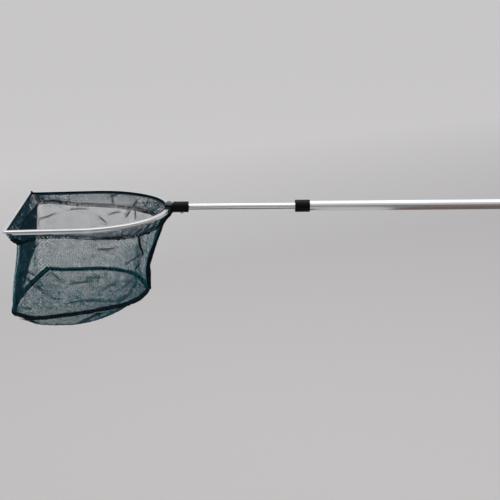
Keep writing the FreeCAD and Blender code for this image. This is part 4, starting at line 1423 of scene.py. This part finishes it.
FOLDS = (
    Fold(Sheet.HEM, 5, ((0.8102, 0.0), (0.813, 0.51), (0.8204, 1.0))),
    Fold(Sheet.HEM, 3, ((0.798, 0.44), (0.815, 0.19), (0.833, 0.09))),
    Fold(Sheet.HEM, 7, ((0.8722, 0.26), (0.8694, 0.67), (0.8685, 1.0))),
    Fold(Sheet.HEM, 3, ((0.911, 0.95), (0.899, 0.63), (0.904, 0.44), (0.912, 0.30), (0.926, 0.28),
                        (0.937, 0.35), (0.956, 0.42))),
    Fold(Sheet.HEM, 4, ((0.6407, 0.06), (0.6417, 0.49), (0.6389, 0.93))),
    Fold(Sheet.HEM, 4, ((0.6454, 0.06), (0.65, 0.6), (0.65, 1.0))),
    Fold(Sheet.HEM, 5, ((0.6546, 0.2), (0.6593, 0.67), (0.662, 1.0))),
    Fold(Sheet.WALL, 6, ((0.6556, 0.006), (0.6722, 0.0), (0.6861, 0.006), (0.7, 0.011), (0.7167, 0.017))),
    Fold(Sheet.WALL, 5, ((0.8852, 0.017), (0.9083, 0.034), (0.9389, 0.023), (0.9648, 0.0))),
    Fold(Sheet.WALL, 4, ((0.8685, 0.0), (0.862, 0.08), (0.8556, 0.142))),
    Fold(Sheet.WALL, 3, ((0.8769, 0.006), (0.8796, 0.062), (0.8824, 0.153))),
    Fold(Sheet.WALL, 3, ((0.6259, 0.233), (0.6565, 0.205), (0.675, 0.165), (0.687, 0.148))),
    Fold(Sheet.WALL, 2, ((0.7083, 0.097), (0.737, 0.062), (0.7648, 0.062))),
    Fold(Sheet.WALL, 3, ((0.7852, 0.153), (0.7972, 0.188), (0.813, 0.267))),
    Fold(Sheet.WALL, 2, ((0.8065, 0.159), (0.8231, 0.097), (0.8407, 0.074))),
    Fold(Sheet.WALL, 7, ((0.0935, 0.006), (0.0787, 0.004), (0.0639, 0.0))),
    Fold(Sheet.WALL, 4, ((0.2093, 0.004), (0.188, 0.017), (0.162, 0.011), (0.1454, 0.0))),
    Fold(Sheet.WALL, 8, ((0.1015, 0.004), (0.0925, 0.075), (0.0833, 0.142), (0.0764, 0.193))),
    Fold(Sheet.WALL, 9, ((0.0925, 0.075), (0.0833, 0.142), (0.0694, 0.244), (0.0480, 0.38))),
    Fold(Sheet.WALL, 3, ((0.1343, 0.375), (0.1074, 0.335), (0.0833, 0.33), (0.0648, 0.318))),
    Fold(Sheet.WALL, 3, ((0.2074, 0.131), (0.175, 0.142), (0.1593, 0.131), (0.1426, 0.102))),
    Fold(Sheet.WALL, 3, ((0.3287, 0.136), (0.3213, 0.114), (0.3148, 0.085))),
    Fold(Sheet.WALL, 4, ((0.0907, 0.506), (0.0676, 0.506), (0.0509, 0.506))),
    Fold(Sheet.WALL, 3, ((0.3417, 0.403), (0.3333, 0.438), (0.3213, 0.466))),
    Fold(Sheet.WALL, 3, ((0.3426, 0.466), (0.3352, 0.511), (0.3278, 0.54))),
    Fold(Sheet.BOTTOM, 6, ((-304, 133), (-295, 127), (-281, 117), (-264, 94))),
    Fold(Sheet.BOTTOM, 5, ((-264, 96), (-237, 100), (-208, 104), (-179, 112))),
    Fold(Sheet.BOTTOM, 7, ((-327, 75), (-320, 71), (-310, 59))),
    Fold(Sheet.BOTTOM, 6, ((-335, 45), (-318, 42), (-297, 36))),
    Fold(Sheet.BOTTOM, 5, ((-297, 36), (-279, 36), (-262, 38))),
    Fold(Sheet.BOTTOM, 10, ((-98, 92), (-98, 86), (-108, 76), (-116, 60))),
    Fold(Sheet.BOTTOM, 5, ((-120, 94), (-133, 84), (-145, 79), (-164, 69), (-179, 49))),
    Fold(Sheet.BOTTOM, 6, ((-79, 69), (-89, 59), (-98, 42), (-102, 16), (-100, -7))),
    Fold(Sheet.BOTTOM, 9, ((-100, 28), (-112, 7), (-127, -5))),
    Fold(Sheet.BOTTOM, 5, ((-210, 30), (-170, 18), (-123, -1))),
    Fold(Sheet.BOTTOM, 6, ((-256, 14), (-220, 28), (-175, 32))),
    Fold(Sheet.BOTTOM, 4, ((-220, 117), (-195, 117), (-170, 115))),
    Fold(Sheet.BOTTOM, 4, ((-347, -94), (-335, -73), (-318, -54))),
    Fold(Sheet.BOTTOM, 6, ((-329, -149), (-316, -147), (-298, -143), (-281, -129))),
    Fold(Sheet.BOTTOM, 4, ((-206, -131), (-161, -142), (-136, -135))),
)


@dataclass
class Folds:
    """Creases of the bag: strands that bunch into a low ridge and fan out at its ends."""
    bag: Bag
    cloths: dict[Sheet, Cloth]
    panel: BottomPanel
    points: int = 56
    thread: float = 0.95
    spacing: float = 0.85
    middle_spread: float = 0.8
    end_spread: float = 2.2
    beside_spacing: float = 1.5
    beside_power: float = 1.4
    roll: float = 0.18
    roll_half: float = 0.7
    roll_from: int = 3
    roll_shortfall: float = 0.05
    shortfall: float = 0.45
    lift: float = 0.3
    foot: float = 0.7
    waver: float = 0.4
    waver_up: float = 0.4
    taper: float = 0.7
    swelling: float = 0.3
    limits: Pair = (0.5, 1.7)
    seed: int = 100

    def line(self, fold: Fold) -> tuple[Array, Array]:
        """Places and normals along a fold, evenly shared out and with its corners smoothed.

        Args:
            fold: the crease.

        Returns:
            (points, 3) places and unit normals.
        """
        path = np.array(fold.path, float)
        share = np.linspace(0.0, len(path) - 1.0, self.points)
        fine = smoothed(read_at(share, np.arange(len(path)), path), self.points // (2 * len(path)))
        if fold.sheet is Sheet.BOTTOM:
            places, normals, _ = self.panel.surface(fine + self.bag.anchor()[:2])
            return places, normals
        return self.cloths[fold.sheet].at(fine[:, 0], fine[:, 1])

    def bundle(self, fold: Fold, seed: int) -> tuple[Array, Array, Array, Array]:
        """Strands of one fold, and on one side of it the strands of cloth that it pulls together.

        A strand's distance from the middle is its number times the spacing, spread less in the middle of
        the fold than at its ends. The ridge stands up as a half circle does, and falls off at the ends. The
        strands beside it lie further and further apart. All join and leave the fold at different places.

        Args:
            fold: the crease.
            seed: start of the strands' wavering.

        Returns:
            (strands, points, 3) places and normals, (strands, points) True where a strand exists, and how
            many times the thread's radius it has there: the middle of the fold is a roll of cloth.
        """
        middle, normals = self.line(fold)
        across = unit(np.cross(normals, np.gradient(middle, axis=0)))
        number = (np.arange(fold.strands) - (fold.strands - 1) / 2)[:, None]
        beside = (np.arange(1, fold.strands // 2 + 2)[:, None] * self.beside_spacing) ** self.beside_power
        number = np.concatenate([number, np.sign(seed % 4 - 1) * (number[-1] + beside)])
        along = np.linspace(-1.0, 1.0, self.points)[None]
        shape = (len(number), self.points)
        spread = self.middle_spread + (self.end_spread - self.middle_spread) * np.abs(along) ** 3
        aside = number * self.spacing * spread + self.waver * soft_noise(shape, (0, 2), seed)
        ridge = np.sqrt(np.clip(1 - (2 * number / fold.strands) ** 2, 0, 1)) * (1 - along ** 4)
        upward = (self.thread * self.foot + self.lift * fold.strands * ridge
                  + self.waver_up * self.waver * soft_noise(shape, (0, 2), seed + 1))
        places = middle[None] + across[None] * aside[..., None] + normals[None] * upward[..., None]
        rolled = np.abs(number) < self.roll_half
        shortfall = np.where(rolled, self.roll_shortfall, self.shortfall)
        reach = 1 - shortfall * np.random.default_rng(seed).random((2, len(number), 1))
        keep = (along >= -reach[0]) & (along <= reach[1])
        girth = 1 + self.roll * max(fold.strands - self.roll_from, 0) * rolled * np.ones(shape)
        return places, np.broadcast_to(normals[None], places.shape), keep, girth

    def build(self) -> None:
        """Make one piece of all the folds of each sheet."""
        for sheet in Sheet:
            bundles = [self.bundle(fold, self.seed + 2 * index) for index, fold in enumerate(FOLDS)
                       if fold.sheet is sheet]
            places, normals, keep, girth = (np.concatenate(parts) for parts in zip(*bundles))
            taper = 1 - self.taper * np.linspace(-1.0, 1.0, self.points) ** 4
            swelling = 1 + self.swelling * soft_noise(keep.shape, (0, 1), 7)
            radius = self.thread / 2 * np.clip(swelling, *self.limits) * taper * girth
            piece = strands(f"{sheet.value}_folds", places, normals, keep, radius)
            # The folds' strands take painted shade: the net's colour darkened for bunched threads that shade
            # each other.
            GATHERED_NET_SHADE.dress(piece)
            settle(piece, Body.NET_HEAD)


# Seams

@dataclass(frozen=True)
class Bunch:
    """Hem bunched together: its middle and reach as shares of the way round, and where it starts."""
    name: str
    middle: float
    reach: float
    top: float
    seed: int


@dataclass(frozen=True)
class StitchRow:
    """Row of stitches: where along its pitch it starts, how far down the wall and how far outside it runs."""
    name: str
    shift: float
    down: float
    out: float


@dataclass
class Seams:
    """Piping round the bottom, the rear seam that stands out, the hem's seam and what fills the channel.

    Of the pairs for girth, share and size, the first is the least and the second how much more it can be.
    """
    bag: Bag
    wall: Cloth
    hem: Cloth
    piping_facets: int = 12
    piping_half: Pair = (4.9, 4.5)
    piping_shift: Pair = (1.0, -2.0)
    piping_step: float = 0.6
    piping_waves: tuple[tuple[float, float, float], ...] = ((0.7, 19.0, 0.0), (0.5, 7.3, 1.0))
    piping_sway: Pair = (0.6, 0.4)
    piping_ripple: float = 0.07
    piping_rough: float = 0.13
    piping_lay: float = 2.4
    loop_pitch: float = 4.2
    loop_thread: float = 1.5
    loop_girth: Pair = (0.5, 0.8)
    loop_size: Pair = (1.02, 0.16)
    loop_lean: float = 5.0
    loop_places: int = 4
    fin_edges: tuple[tuple[float, ...], ...] = (   # left x and z, right x and z
        (-2, -11, 16, -10), (-7, -22, 9.5, -22), (-12, -32, -0.5, -32), (-19, -44, -8, -43),
        (-26, -60, -12, -57), (-33, -83, -21, -79),
        (-40, -104, -30, -104), (-47, -126, -37, -127), (-53, -145, -43, -145), (-53, -160, -41, -161),
        (-52, -182, -42, -181), (-52, -206, -42, -204))
    fin_profile: tuple[Corner, ...] = (     # in half widths, and in millimetres to one side
        Corner(-1.0, 0.7, 0.2), Corner(-0.7, 1.28, 0.15), Corner(-0.4, 0.7, 0.15),
        Corner(0.3, 0.7, 0.15), Corner(0.6, 1.6, 0.2), Corner(1.0, 1.6, 0.25))
    fin_places: int = 280
    fin_calm: int = 12
    fin_sway: float = 1.8
    fin_turns: float = 1.9
    fin_edge_sway: float = 0.4
    fin_rough: Pair = (0.05, 0.16)
    strip_rows: tuple[float, ...] = (-1.4, 0.2, 2.2, 4.2)
    strip_step: float = 1.5
    strip_thread: float = 1.0
    strip_waver: float = 0.55
    strip_lift: float = 0.9
    strip_rough: float = 0.6
    strip_swelling: float = 0.38
    strip_limits: Pair = (0.3, 1.9)
    seam_gathers: tuple[Gather, ...] = (Gather(0.1, 0.06, 0.45), Gather(0.2, 0.03, -0.2))
    whip_pitch: float = 4.6
    whip_top: float = -1.2
    whip_height: float = 7.2
    whip_share: Pair = (0.7, 0.5)
    whip_shift: float = 0.7
    whip_lean: float = 4.0
    whip_lift: Pair = (1.3, 0.8)
    whip_thread: float = 1.7
    whip_girth: Pair = (0.55, 0.9)
    bunches: tuple[Bunch, ...] = (Bunch("rear_gather", 0.0, 0.036, 0.03, 97),
                                  Bunch("corner_gather", 0.368, 0.02, 0.5, 105))
    bunch_shape: tuple[int, int] = (45, 26)
    bunch_narrowing: float = 0.25
    bunch_waver: float = 0.0016
    bunch_lift: float = 0.8
    bunch_rough: float = 0.5
    bunch_thread: float = 1.24
    bunch_swelling: float = 0.35
    bunch_limits: Pair = (0.4, 1.8)
    wrap_reach: float = 92.0
    wrap_step: float = 0.8
    wrap_thickness: float = 0.8
    wrap_round: float = 0.2
    wrap_full: float = 21.0
    wrap_fall: float = 16.0
    wrap_last_rise: float = 1.9
    wrap_thin_from: float = 40.0
    wrap_thin_within: float = 50.0
    wrap_thinning: float = 0.8
    wrap_sinking: float = 1.6
    wrap_thread: float = 0.28
    wrap_lay: float = 2.1
    wrap_slant: Pair = (0.8, 0.5)
    wrap_rough: float = 0.25
    binding_facets: int = 14
    binding_half: Pair = (0.75, 2.8)
    binding_shift: Pair = (-0.8, -0.25)
    binding_step: float = 1.3
    binding_end_gap: float = 4.0
    binding_rough: float = 0.14
    binding_rough_up: float = 0.1
    tuft_height: float = 5.0
    tuft_reach: float = 4.6
    tuft_width: float = 1.6
    tuft_power: float = 1.5
    stitch_rows: tuple[StitchRow, ...] = (StitchRow("hem_stitches_upper", 0.0, 0.004, -1.1),
                                          StitchRow("hem_stitches_lower", 2.0, 0.03, 0.45))
    stitch_step: float = 0.9
    stitch_steps: int = 5
    stitch_radius: float = 0.6

    def oval(self, angle: Array, size: Array) -> Array:
        """Points of the piping's oval, out of the bag and up, at angles round it and times a size."""
        around = np.stack([np.cos(angle), np.sin(angle)], -1)
        return self.piping_half * around * size[..., None] + self.piping_shift

    def upper_seam(self) -> Pair:
        """Length of the hem's seam round the bag, and height of the wall below it at the rear."""
        return line_length(self.wall.points[0]), line_length(self.wall.points[:, 0])

    def on_wall(self, around: Array, down: Array, lift: Array) -> tuple[Array, Array]:
        """Places at the hem's seam.

        Args:
            around: shares of the way round.
            down: millimetres down the wall from the seam. Where it is less than zero they are above the seam.
            lift: how far out of the cloth they are.

        Returns:
            The places and the wall's normals.
        """
        places, normals = self.wall.at(around, down / self.upper_seam()[1])
        above = np.minimum(down, 0.0)[..., None]
        return places - UP * above + normals * lift[..., None], normals

    def piping(self) -> Piece:
        """Overlocked roll round the bottom: an oval whose radius ripples with the thread that binds it."""
        ring = self.wall.points[-1]
        length = line_length(ring)
        count = round(length / self.piping_step)
        places = even_row(ring[:-1], count)[:-1]
        along = unit(np.roll(places, -1, axis=0) - np.roll(places, 1, axis=0))
        outward = unit(np.cross(along, UP))
        distance = (np.arange(count) / count * length)[:, None]
        wobble = sum(height * np.sin(distance / reach + start) for height, reach, start in self.piping_waves)
        angle = angles_round(self.piping_facets)
        wraps = round(length / self.piping_lay)
        ripple = (1 + self.piping_ripple * np.cos(angle * 2 + distance / length * wraps * FULL_TURN)
                  + self.piping_rough * soft_noise((count, len(angle)), (3, 1), 61))
        section = self.oval(angle, ripple) + wobble[..., None] * self.piping_sway
        route = Route(places, outward, np.cross(outward, along), closed=True)
        return SEAM_CLOTH.dress(carried("bottom_piping", route, section, None))

    def loops(self) -> Piece:
        """Overlock thread round the piping: arcs of uneven size and lean, on an oval round the seam."""
        ring = self.wall.points[-1]
        count = round(line_length(ring) / self.loop_pitch)
        places = even_row(ring[:-1], count * self.loop_places)[:-1]
        along = unit(np.roll(places, -2, axis=0) - np.roll(places, 2, axis=0))
        chance = np.random.default_rng(63).random((4, count, 1))
        chosen = (np.arange(count) + chance[0, :, 0]) * self.loop_places
        here = chosen.astype(int) % len(places)
        places, along = places[here, None], along[here, None]
        outward = unit(np.cross(along, UP))
        angle = np.linspace(0.0, FULL_TURN, 10) + chance[1] * FULL_TURN
        lean = (chance[3] - 0.5) * self.loop_lean * np.sin(angle)
        oval = self.oval(angle, self.loop_size[0] + self.loop_size[1] * chance[2])
        curve = places + outward * oval[..., :1] + along * lean[..., None] + UP * oval[..., 1:]
        normals = outward * np.cos(angle)[..., None] + UP * np.sin(angle)[..., None]
        girth = self.loop_girth[0] + self.loop_girth[1] * np.random.default_rng(64).random((count, 1))
        piece = strands("piping_loops", curve, normals, np.ones(angle.shape, bool),
                        self.loop_thread / 2 * girth, sides=4)
        # The overlock loops take the net's painted shade colour.
        return GATHERED_NET_SHADE.dress(piece)

    def fin(self) -> Piece:
        """Rear seam: a band between two given edges, from under the hub to the bottom seam.

        Its middle line is the mean of the edges, smoothed, and it sways to either side on its way down.
        """
        rows = np.array(self.fin_edges, float)
        share = np.linspace(0.0, len(rows) - 1.0, self.fin_places)
        edges = smoothed(read_at(share, np.arange(len(rows)), rows), self.fin_calm)
        sway = self.fin_sway * np.sin(share * self.fin_turns) * np.sin(math.pi * share / share[-1])
        left = np.stack([edges[:, 0], sway, edges[:, 1]], -1)
        right = np.stack([edges[:, 2], sway * self.fin_edge_sway, edges[:, 3]], -1)
        places = (left + right) / 2 + self.bag.anchor()
        outward = unit(right - left)
        aside = unit(np.cross(np.gradient(places, axis=0), outward))
        lower = [replace(corner, second=-corner.second) for corner in self.fin_profile]
        base = rounded_section(lower + list(reversed(self.fin_profile)))
        rough = soft_noise((len(places), len(base)), (2, 1), 71)
        half = np.linalg.norm(right - left, axis=1)[:, None] / 2
        section = base * np.stack([half * (1 + self.fin_rough[0] * rough),
                                   1 + self.fin_rough[1] * np.roll(rough, 3, 0)], -1)
        return SEAM_CLOTH.dress(carried("rear_fin", Route(places, outward, aside), section, None))

    def hem_strip(self) -> Piece:
        """Turned in edges along the hem's seam: rows of bunched thread round the bag, thick and thin."""
        count = round(self.upper_seam()[0] / self.strip_step)
        shape = (len(self.strip_rows), count + 1)
        around = np.broadcast_to(np.arange(count + 1) / count, shape)
        down = np.array(self.strip_rows)[:, None] + self.strip_waver * soft_noise(shape, (0, 1), 81)
        lift = self.strip_lift + self.strip_rough * soft_noise(shape, (0, 1), 83)
        places, normals = self.on_wall(around, down, lift)
        swelling = np.clip(1 + self.strip_swelling * soft_noise(shape, (0, 1), 85), *self.strip_limits)
        radius = self.strip_thread / 2 * swelling * gathered(around, self.seam_gathers)
        places[:, -1], radius[:, -1] = places[:, 0], radius[:, 0]
        piece = strands("hem_strip", places, normals, np.ones(shape, bool), radius, sides=4)
        return SEAM_CLOTH.dress(piece)

    def whips(self) -> Piece:
        """Overlock stitches across the hem's turned in edges, each of its own lean, height and thickness."""
        length = self.upper_seam()[0]
        count = round(length / self.whip_pitch)
        chance = np.random.default_rng(87).random((4, count, 1))
        share = np.linspace(0.0, 1.0, 5)[None]
        height = self.whip_height * (self.whip_share[0] + self.whip_share[1] * chance[0])
        down = self.whip_top + height * share
        around = (np.arange(count)[:, None] + chance[1] * self.whip_shift) / count
        around = around + (chance[2] - 0.5) * self.whip_lean / length * share
        lift = self.whip_lift[0] + self.whip_lift[1] * np.sin(math.pi * share)
        places, normals = self.on_wall(around, down, lift)
        girth = self.whip_girth[0] + self.whip_girth[1] * chance[3]
        radius = self.whip_thread / 2 * girth * gathered(around, self.seam_gathers)
        piece = strands("hem_whips", places, normals, np.ones(down.shape, bool), radius, sides=4)
        return SEAM_CLOTH.dress(piece)

    def bunch(self, bunch: Bunch) -> Piece:
        """Strands down the hem's outer layer to its seam, two layers deep, drawn together on their way."""
        share = np.linspace(-1.0, 1.0, self.bunch_shape[0])[:, None]
        way = np.linspace(bunch.top, 1.0, self.bunch_shape[1])[None]
        around = (bunch.middle + share * bunch.reach * (1 - self.bunch_narrowing * way)
                  + self.bunch_waver * soft_noise(self.bunch_shape, (0, 2), bunch.seed))
        places, normals = self.hem.at(around, np.broadcast_to(way, around.shape))
        layer = np.where(np.arange(len(share)) % 2 < 1, 1.0, -1.0)[:, None]
        lift = (self.bunch_lift * layer
                + self.bunch_rough * soft_noise(self.bunch_shape, (0, 2), bunch.seed + 1))
        swelling = 1 + self.bunch_swelling * soft_noise(self.bunch_shape, (0, 1), bunch.seed + 2)
        radius = self.bunch_thread / 2 * np.clip(swelling, *self.bunch_limits)
        piece = strands(bunch.name, places + normals * lift[..., None], normals,
                        np.ones(self.bunch_shape, bool), radius, sides=4)
        # The bunched strands take painted shade: the net's colour darkened where the layers shade each other.
        return GATHERED_NET_SHADE.dress(piece)

    def arm_wrap(self) -> Piece:
        """Net bunched round both arms' ends below the hub: a roll round the channel, wound with thread.

        At first it wraps the whole channel. Then its top comes down to near the channel's lower edge, and
        from there it thins out.
        """
        hoop = self.bag.hoop
        span = np.arange(-self.wrap_reach, self.wrap_reach + self.wrap_step / 2, self.wrap_step)
        outline = rounded_section([Corner(out, up, self.wrap_round)
                                   for out, up in ((0, 0), (1, 0), (1, 1), (0, 1))], 4)
        outline = np.stack([outline, (outline + np.roll(outline, -1, axis=0)) / 2], 1).reshape(-1, 2)
        away = np.abs(span)[:, None]
        thinned = eased((away - self.wrap_thin_from) / self.wrap_thin_within)
        fallen = eased((away - self.wrap_full) / self.wrap_fall)
        thick = self.wrap_thickness * (1 - self.wrap_thinning * thinned)
        top = thick - (hoop.height - self.wrap_last_rise + thick) * fallen - self.wrap_sinking * thinned
        low = -hoop.height - thick
        turns = span[:, None] / self.wrap_lay + outline @ np.array(self.wrap_slant)
        wound = (self.wrap_thread * np.cos(turns * FULL_TURN)
                 + self.wrap_rough * soft_noise((len(span), len(outline)), (1, 1), 95)) * thick
        out = -thick + (hoop.depth + 2 * thick) * outline[:, 0]
        section = np.stack([out, low + (top - low) * outline[:, 1]], -1)
        section = section + wound[..., None] * np.sign(outline - 0.5)
        return SEAM_CLOTH.dress(carried("arm_wrap", hoop.route().at(span), section, None))

    def binding(self) -> Piece:
        """Bunched net that fills the channel's mouth, from just under its inner top edge.

        Its section is an oval that the thread roughens. At the far front corner a small tuft stands up, as
        high as a bell over the distance from the corner.
        """
        hoop = self.bag.hoop
        route = hoop.route()
        gap = self.binding_end_gap
        route = route.at(np.arange(gap, route.length - gap, self.binding_step))
        angle = angles_round(self.binding_facets)
        rough = soft_noise((len(route.places), len(angle)), (1, 1), 91)
        corner = np.array([-hoop.inside_length, hoop.half_width]) + self.bag.anchor()[:2]
        near = np.linalg.norm(route.places[:, :2] - corner, axis=1)
        bell = np.exp(-(near / self.tuft_reach) ** 2)[:, None]
        wide = self.binding_half[0] * (1 + self.tuft_width * bell) * (1 + self.binding_rough * rough)
        high = self.binding_half[1] * (1 + self.binding_rough_up * self.binding_rough * rough)
        tuft = self.tuft_height * bell * np.clip(np.sin(angle), 0, 1) ** self.tuft_power
        middle = self.binding_shift[1] - self.binding_half[1]
        section = np.stack([self.binding_shift[0] + wide * np.cos(angle),
                            middle + high * np.sin(angle) + tuft], -1)
        return SEAM_CLOTH.dress(carried("hem_binding", route, section, None))

    def stitches(self, row: StitchRow) -> Piece:
        """Row of stitches along the hem's seam: each is all but one of its steps long."""
        count = round(self.upper_seam()[0] / self.stitch_step)
        around = (np.arange(count) + row.shift)[None] / count
        places, normals = self.wall.at(around, np.full_like(around, row.down))
        keep = (np.arange(count) % self.stitch_steps < self.stitch_steps - 1)[None]
        piece = strands(row.name, places + normals * row.out, normals, keep, self.stitch_radius, sides=6)
        return SEAM_CLOTH.dress(piece)

    def build(self) -> None:
        """Make the seams."""
        settle(self.piping(), Body.NET_HEAD, "bottom_seam")
        settle(self.fin(), Body.NET_HEAD, "rear_seam")
        for piece in (self.hem_strip(), self.whips(), self.loops(), *map(self.bunch, self.bunches),
                      self.arm_wrap(), self.binding(), *map(self.stitches, self.stitch_rows)):
            settle(piece, Body.NET_HEAD)


# CAD pieces that stay

@dataclass
class Hardware:
    """Small CAD pieces that keep their own meshes and get a finish."""
    finishes: dict[Finish, tuple[str, ...]] = field(default_factory=lambda: {
        MOULDED_BLACK: ("hub_body", "end_cap", "socket_liner", "cam_plug"),
        MOULDED_GREY: ("hub_cap",),
        TURNED_NYLON: ("guide_bush", "lock_ring"),
        ZINC_STEEL: ("end_cap_pin", "cam_pin", "cam_retainer", "cam_screw", "hub_bolt", "hub_nut",
                     "sleeve_screw"),
        HOOP_SKIN: ("rail_joiner",),
    })
    skirt_profile: tuple[Corner, ...] = (
        Corner(-3.4, 0.05), Corner(-3.4, 0.35, 0.15), Corner(0.3, 0.35, 0.25), Corner(0.3, -0.4, 0.1),
        Corner(-0.1, -0.4), Corner(-0.1, 0.05))

    def skirt(self) -> Piece:
        """Edge of the hub's cap, which reaches down round the boss: a thin ring under the dome.

        Its profile is measured up from the cap's foot and outwards from its rim.
        """
        low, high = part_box("hub_cap")
        radius = (high.x - low.x) / 2 / MM
        centre = ((low.x + high.x) / 2 / MM, (low.y + high.y) / 2 / MM, low.z / MM)
        section = rounded_section([replace(corner, second=radius + corner.second)
                                   for corner in self.skirt_profile])
        return MOULDED_GREY.dress(turned("cap_skirt", section, axis=Axis.UPRIGHT, centre=centre))

    def build(self, nodes: dict[str, Piece]) -> None:
        """Dress the CAD nodes that are named here, and add the cap's edge."""
        settle(self.skirt(), Body.NET_HEAD)
        for finish, names in self.finishes.items():
            for name in names:
                finish.dress(nodes[name])
                LOG.info("%s keeps its mesh, in %s", name, finish.name)


# Studio

FLAG_COLOUR = (0.02, 0.02, 0.022)
FAR, LOW = 30000.0, -1100.0               # how far the floor reaches to each side, and its height


@dataclass(frozen=True)
class Card:
    """Flat card or floor that isn't part of the object, from one corner to the opposite one.

    It is level where the corners are of one height, and upright where they lie on one line across. With a
    painted light colour, it turns to that lighter colour far behind the object and to the left: painted light.
    """
    name: str
    start: Point
    end: Point
    colour: Colour = FLAG_COLOUR
    painted_light_colour: Optional[Colour] = None


@dataclass
class Studio:
    """Camera, floor, sky, lamp and the cards that the metal mirrors."""
    camera_place: Point = (-872.4, -2504.9, 712.9)
    azimuth_degrees: float = 0.78
    elevation_degrees: float = 18.15
    roll_degrees: float = -0.29
    lens: float = 79.66
    # The floor is painted lighter far behind and to the left: painted light.
    floor: Card = Card("floor", (-FAR, -FAR, LOW), (FAR, FAR, LOW), (0.575, 0.56, 0.555),
                       (0.785, 0.765, 0.77))
    mirrored: tuple[Card, ...] = (
        Card("dark_front_left", (-5200, -4500, 120), (-1300, -4500, -800)),
        Card("dark_front_right", (-640, -4500, 120), (3600, -4500, -800)),
        Card("dark_strip", (-1060, -230, -300), (-702, -20, -300)),
        Card("brown_table", (-470, -1500, -420), (1400, 260, -420), (0.16, 0.115, 0.09)))
    card_points: int = 9
    card_roughness: float = 0.9
    card_shade: float = 0.985
    patch_scale: Point = (0.4, 0.4, 0.4)
    # Way and distances over which the floor's painted light comes in.
    painted_light_way: Point = (-0.5, 1.0, 0.0)
    painted_light_span: Pair = (3.3, 5.9)
    sky_way: Point = (0.0, 0.3, 0.95)
    sky_span: Pair = (-0.3, 0.8)
    sky_strength: Pair = (0.22, 0.85)
    sky_colour: Colour = (0.985, 0.99, 1.0)
    lamp_place: Point = (-0.6, 0.35, 2.4)
    lamp_size: Pair = (4.0, 2.2)
    lamp_energy: float = 34.0

    def camera(self) -> None:
        """Camera of the photograph: level direction, tilt and a small roll.

        Sight = (sin a cos e, cos a cos e, -sin e), right = (cos a, -sin a, 0), and both right and up are
        turned by the roll.
        """
        turn, tilt, roll = (math.radians(angle) for angle in
                            (self.azimuth_degrees, self.elevation_degrees, self.roll_degrees))
        sight = np.array([math.sin(turn) * math.cos(tilt), math.cos(turn) * math.cos(tilt), -math.sin(tilt)])
        right = np.array([math.cos(turn), -math.sin(turn), 0.0])
        upward = np.cross(right, sight)
        rolled_right = math.cos(roll) * right + math.sin(roll) * upward
        rolled_up = -math.sin(roll) * right + math.cos(roll) * upward
        data = bpy.data.cameras.new("camera")
        data.lens = self.lens
        data.sensor_width = 36.0
        data.clip_end = 100.0
        camera = bpy.data.objects.new("camera", data)
        basis = np.eye(4)
        basis[:3, 0], basis[:3, 1], basis[:3, 2] = rolled_right, rolled_up, -sight
        basis[:3, 3] = np.array(self.camera_place) * MM
        camera.matrix_world = Matrix(basis.tolist())
        bpy.context.scene.collection.objects.link(camera)
        bpy.context.scene.camera = camera

    def card(self, card: Card) -> Piece:
        """The card as a small grid."""
        share = np.linspace(0.0, 1.0, self.card_points)
        across, down = np.meshgrid(share, share)
        start, end = np.array(card.start, float), np.array(card.end, float)
        grid = start + (end - start) * np.stack([across, down, down], -1)
        piece = make_piece(card.name, grid, [grid_quads(*across.shape)], None, closed=False)
        graph = Graph(card.name)
        graph.shader.inputs["Roughness"].default_value = self.card_roughness
        slow = graph.spread(graph.noise(self.patch_scale, detail=1.0), 0.0, 1.0)
        # The floor's colour is painted lighter with distance: painted light.
        if card.painted_light_colour is not None:
            slow = graph.ramp(self.painted_light_way, *self.painted_light_span)
        last = card.painted_light_colour or tuple(channel * self.card_shade for channel in card.colour)
        graph.join(graph.blend(slow, card.colour, last), graph.shader.inputs["Base Color"])
        piece.data.materials.append(graph.material)
        return piece

    def cards(self) -> None:
        """Pale floor far below, on which the soft shadow falls and whose colour is painted lighter far behind
        and to the left as painted light, and the cards that the metal mirrors.

        Those are the dark front of the room, a dark strip under the thin tube and a brown table below the
        handle. They are seen in reflections alone, so that they take no light from the object.
        """
        self.card(self.floor)
        for card in self.mirrored:
            piece = self.card(card)
            piece.visible_camera = False
            piece.visible_diffuse = False
            piece.visible_shadow = False
            piece.visible_transmission = False

    def sky(self) -> None:
        """World light: brighter overhead and behind, dimmer in front, as a soft studio tent."""
        world = bpy.data.worlds.new("tent")
        bpy.context.scene.world = world
        world.use_nodes = True
        tree = world.node_tree
        background = tree.nodes["Background"]
        place = tree.nodes.new("ShaderNodeTexCoord")
        tilt = tree.nodes.new("ShaderNodeVectorMath")
        tilt.operation = "DOT_PRODUCT"
        tilt.inputs[1].default_value = self.sky_way
        ramp = tree.nodes.new("ShaderNodeMapRange")
        numbers = self.sky_span + self.sky_strength
        for name, value in zip(("From Min", "From Max", "To Min", "To Max"), numbers):
            ramp.inputs[name].default_value = value
        tree.links.new(place.outputs["Generated"], tilt.inputs[0])
        tree.links.new(tilt.outputs["Value"], ramp.inputs["Value"])
        tree.links.new(ramp.outputs["Result"], background.inputs["Strength"])
        background.inputs["Color"].default_value = (*self.sky_colour, 1.0)

    def lamp(self) -> None:
        """Wide soft box overhead."""
        data = bpy.data.lights.new("soft_box", "AREA")
        data.shape = "RECTANGLE"
        data.size, data.size_y = self.lamp_size
        data.energy = self.lamp_energy
        lamp = bpy.data.objects.new("soft_box", data)
        lamp.location = self.lamp_place
        bpy.context.scene.collection.objects.link(lamp)

    def build(self) -> None:
        """Set up the whole studio."""
        bpy.context.scene.view_settings.view_transform = "Standard"
        self.camera()
        self.cards()
        self.sky()
        self.lamp()


def main() -> None:
    """Build the scene around the frame."""
    logging.basicConfig(level=logging.INFO, format="%(message)s")
    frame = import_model()
    Studio().build()
    Pole().build()
    hoop = Hoop()
    hoop.build()
    Bag(hoop).build()
    Hardware().build(frame["nodes"])


if __name__ == "__main__":
    main()
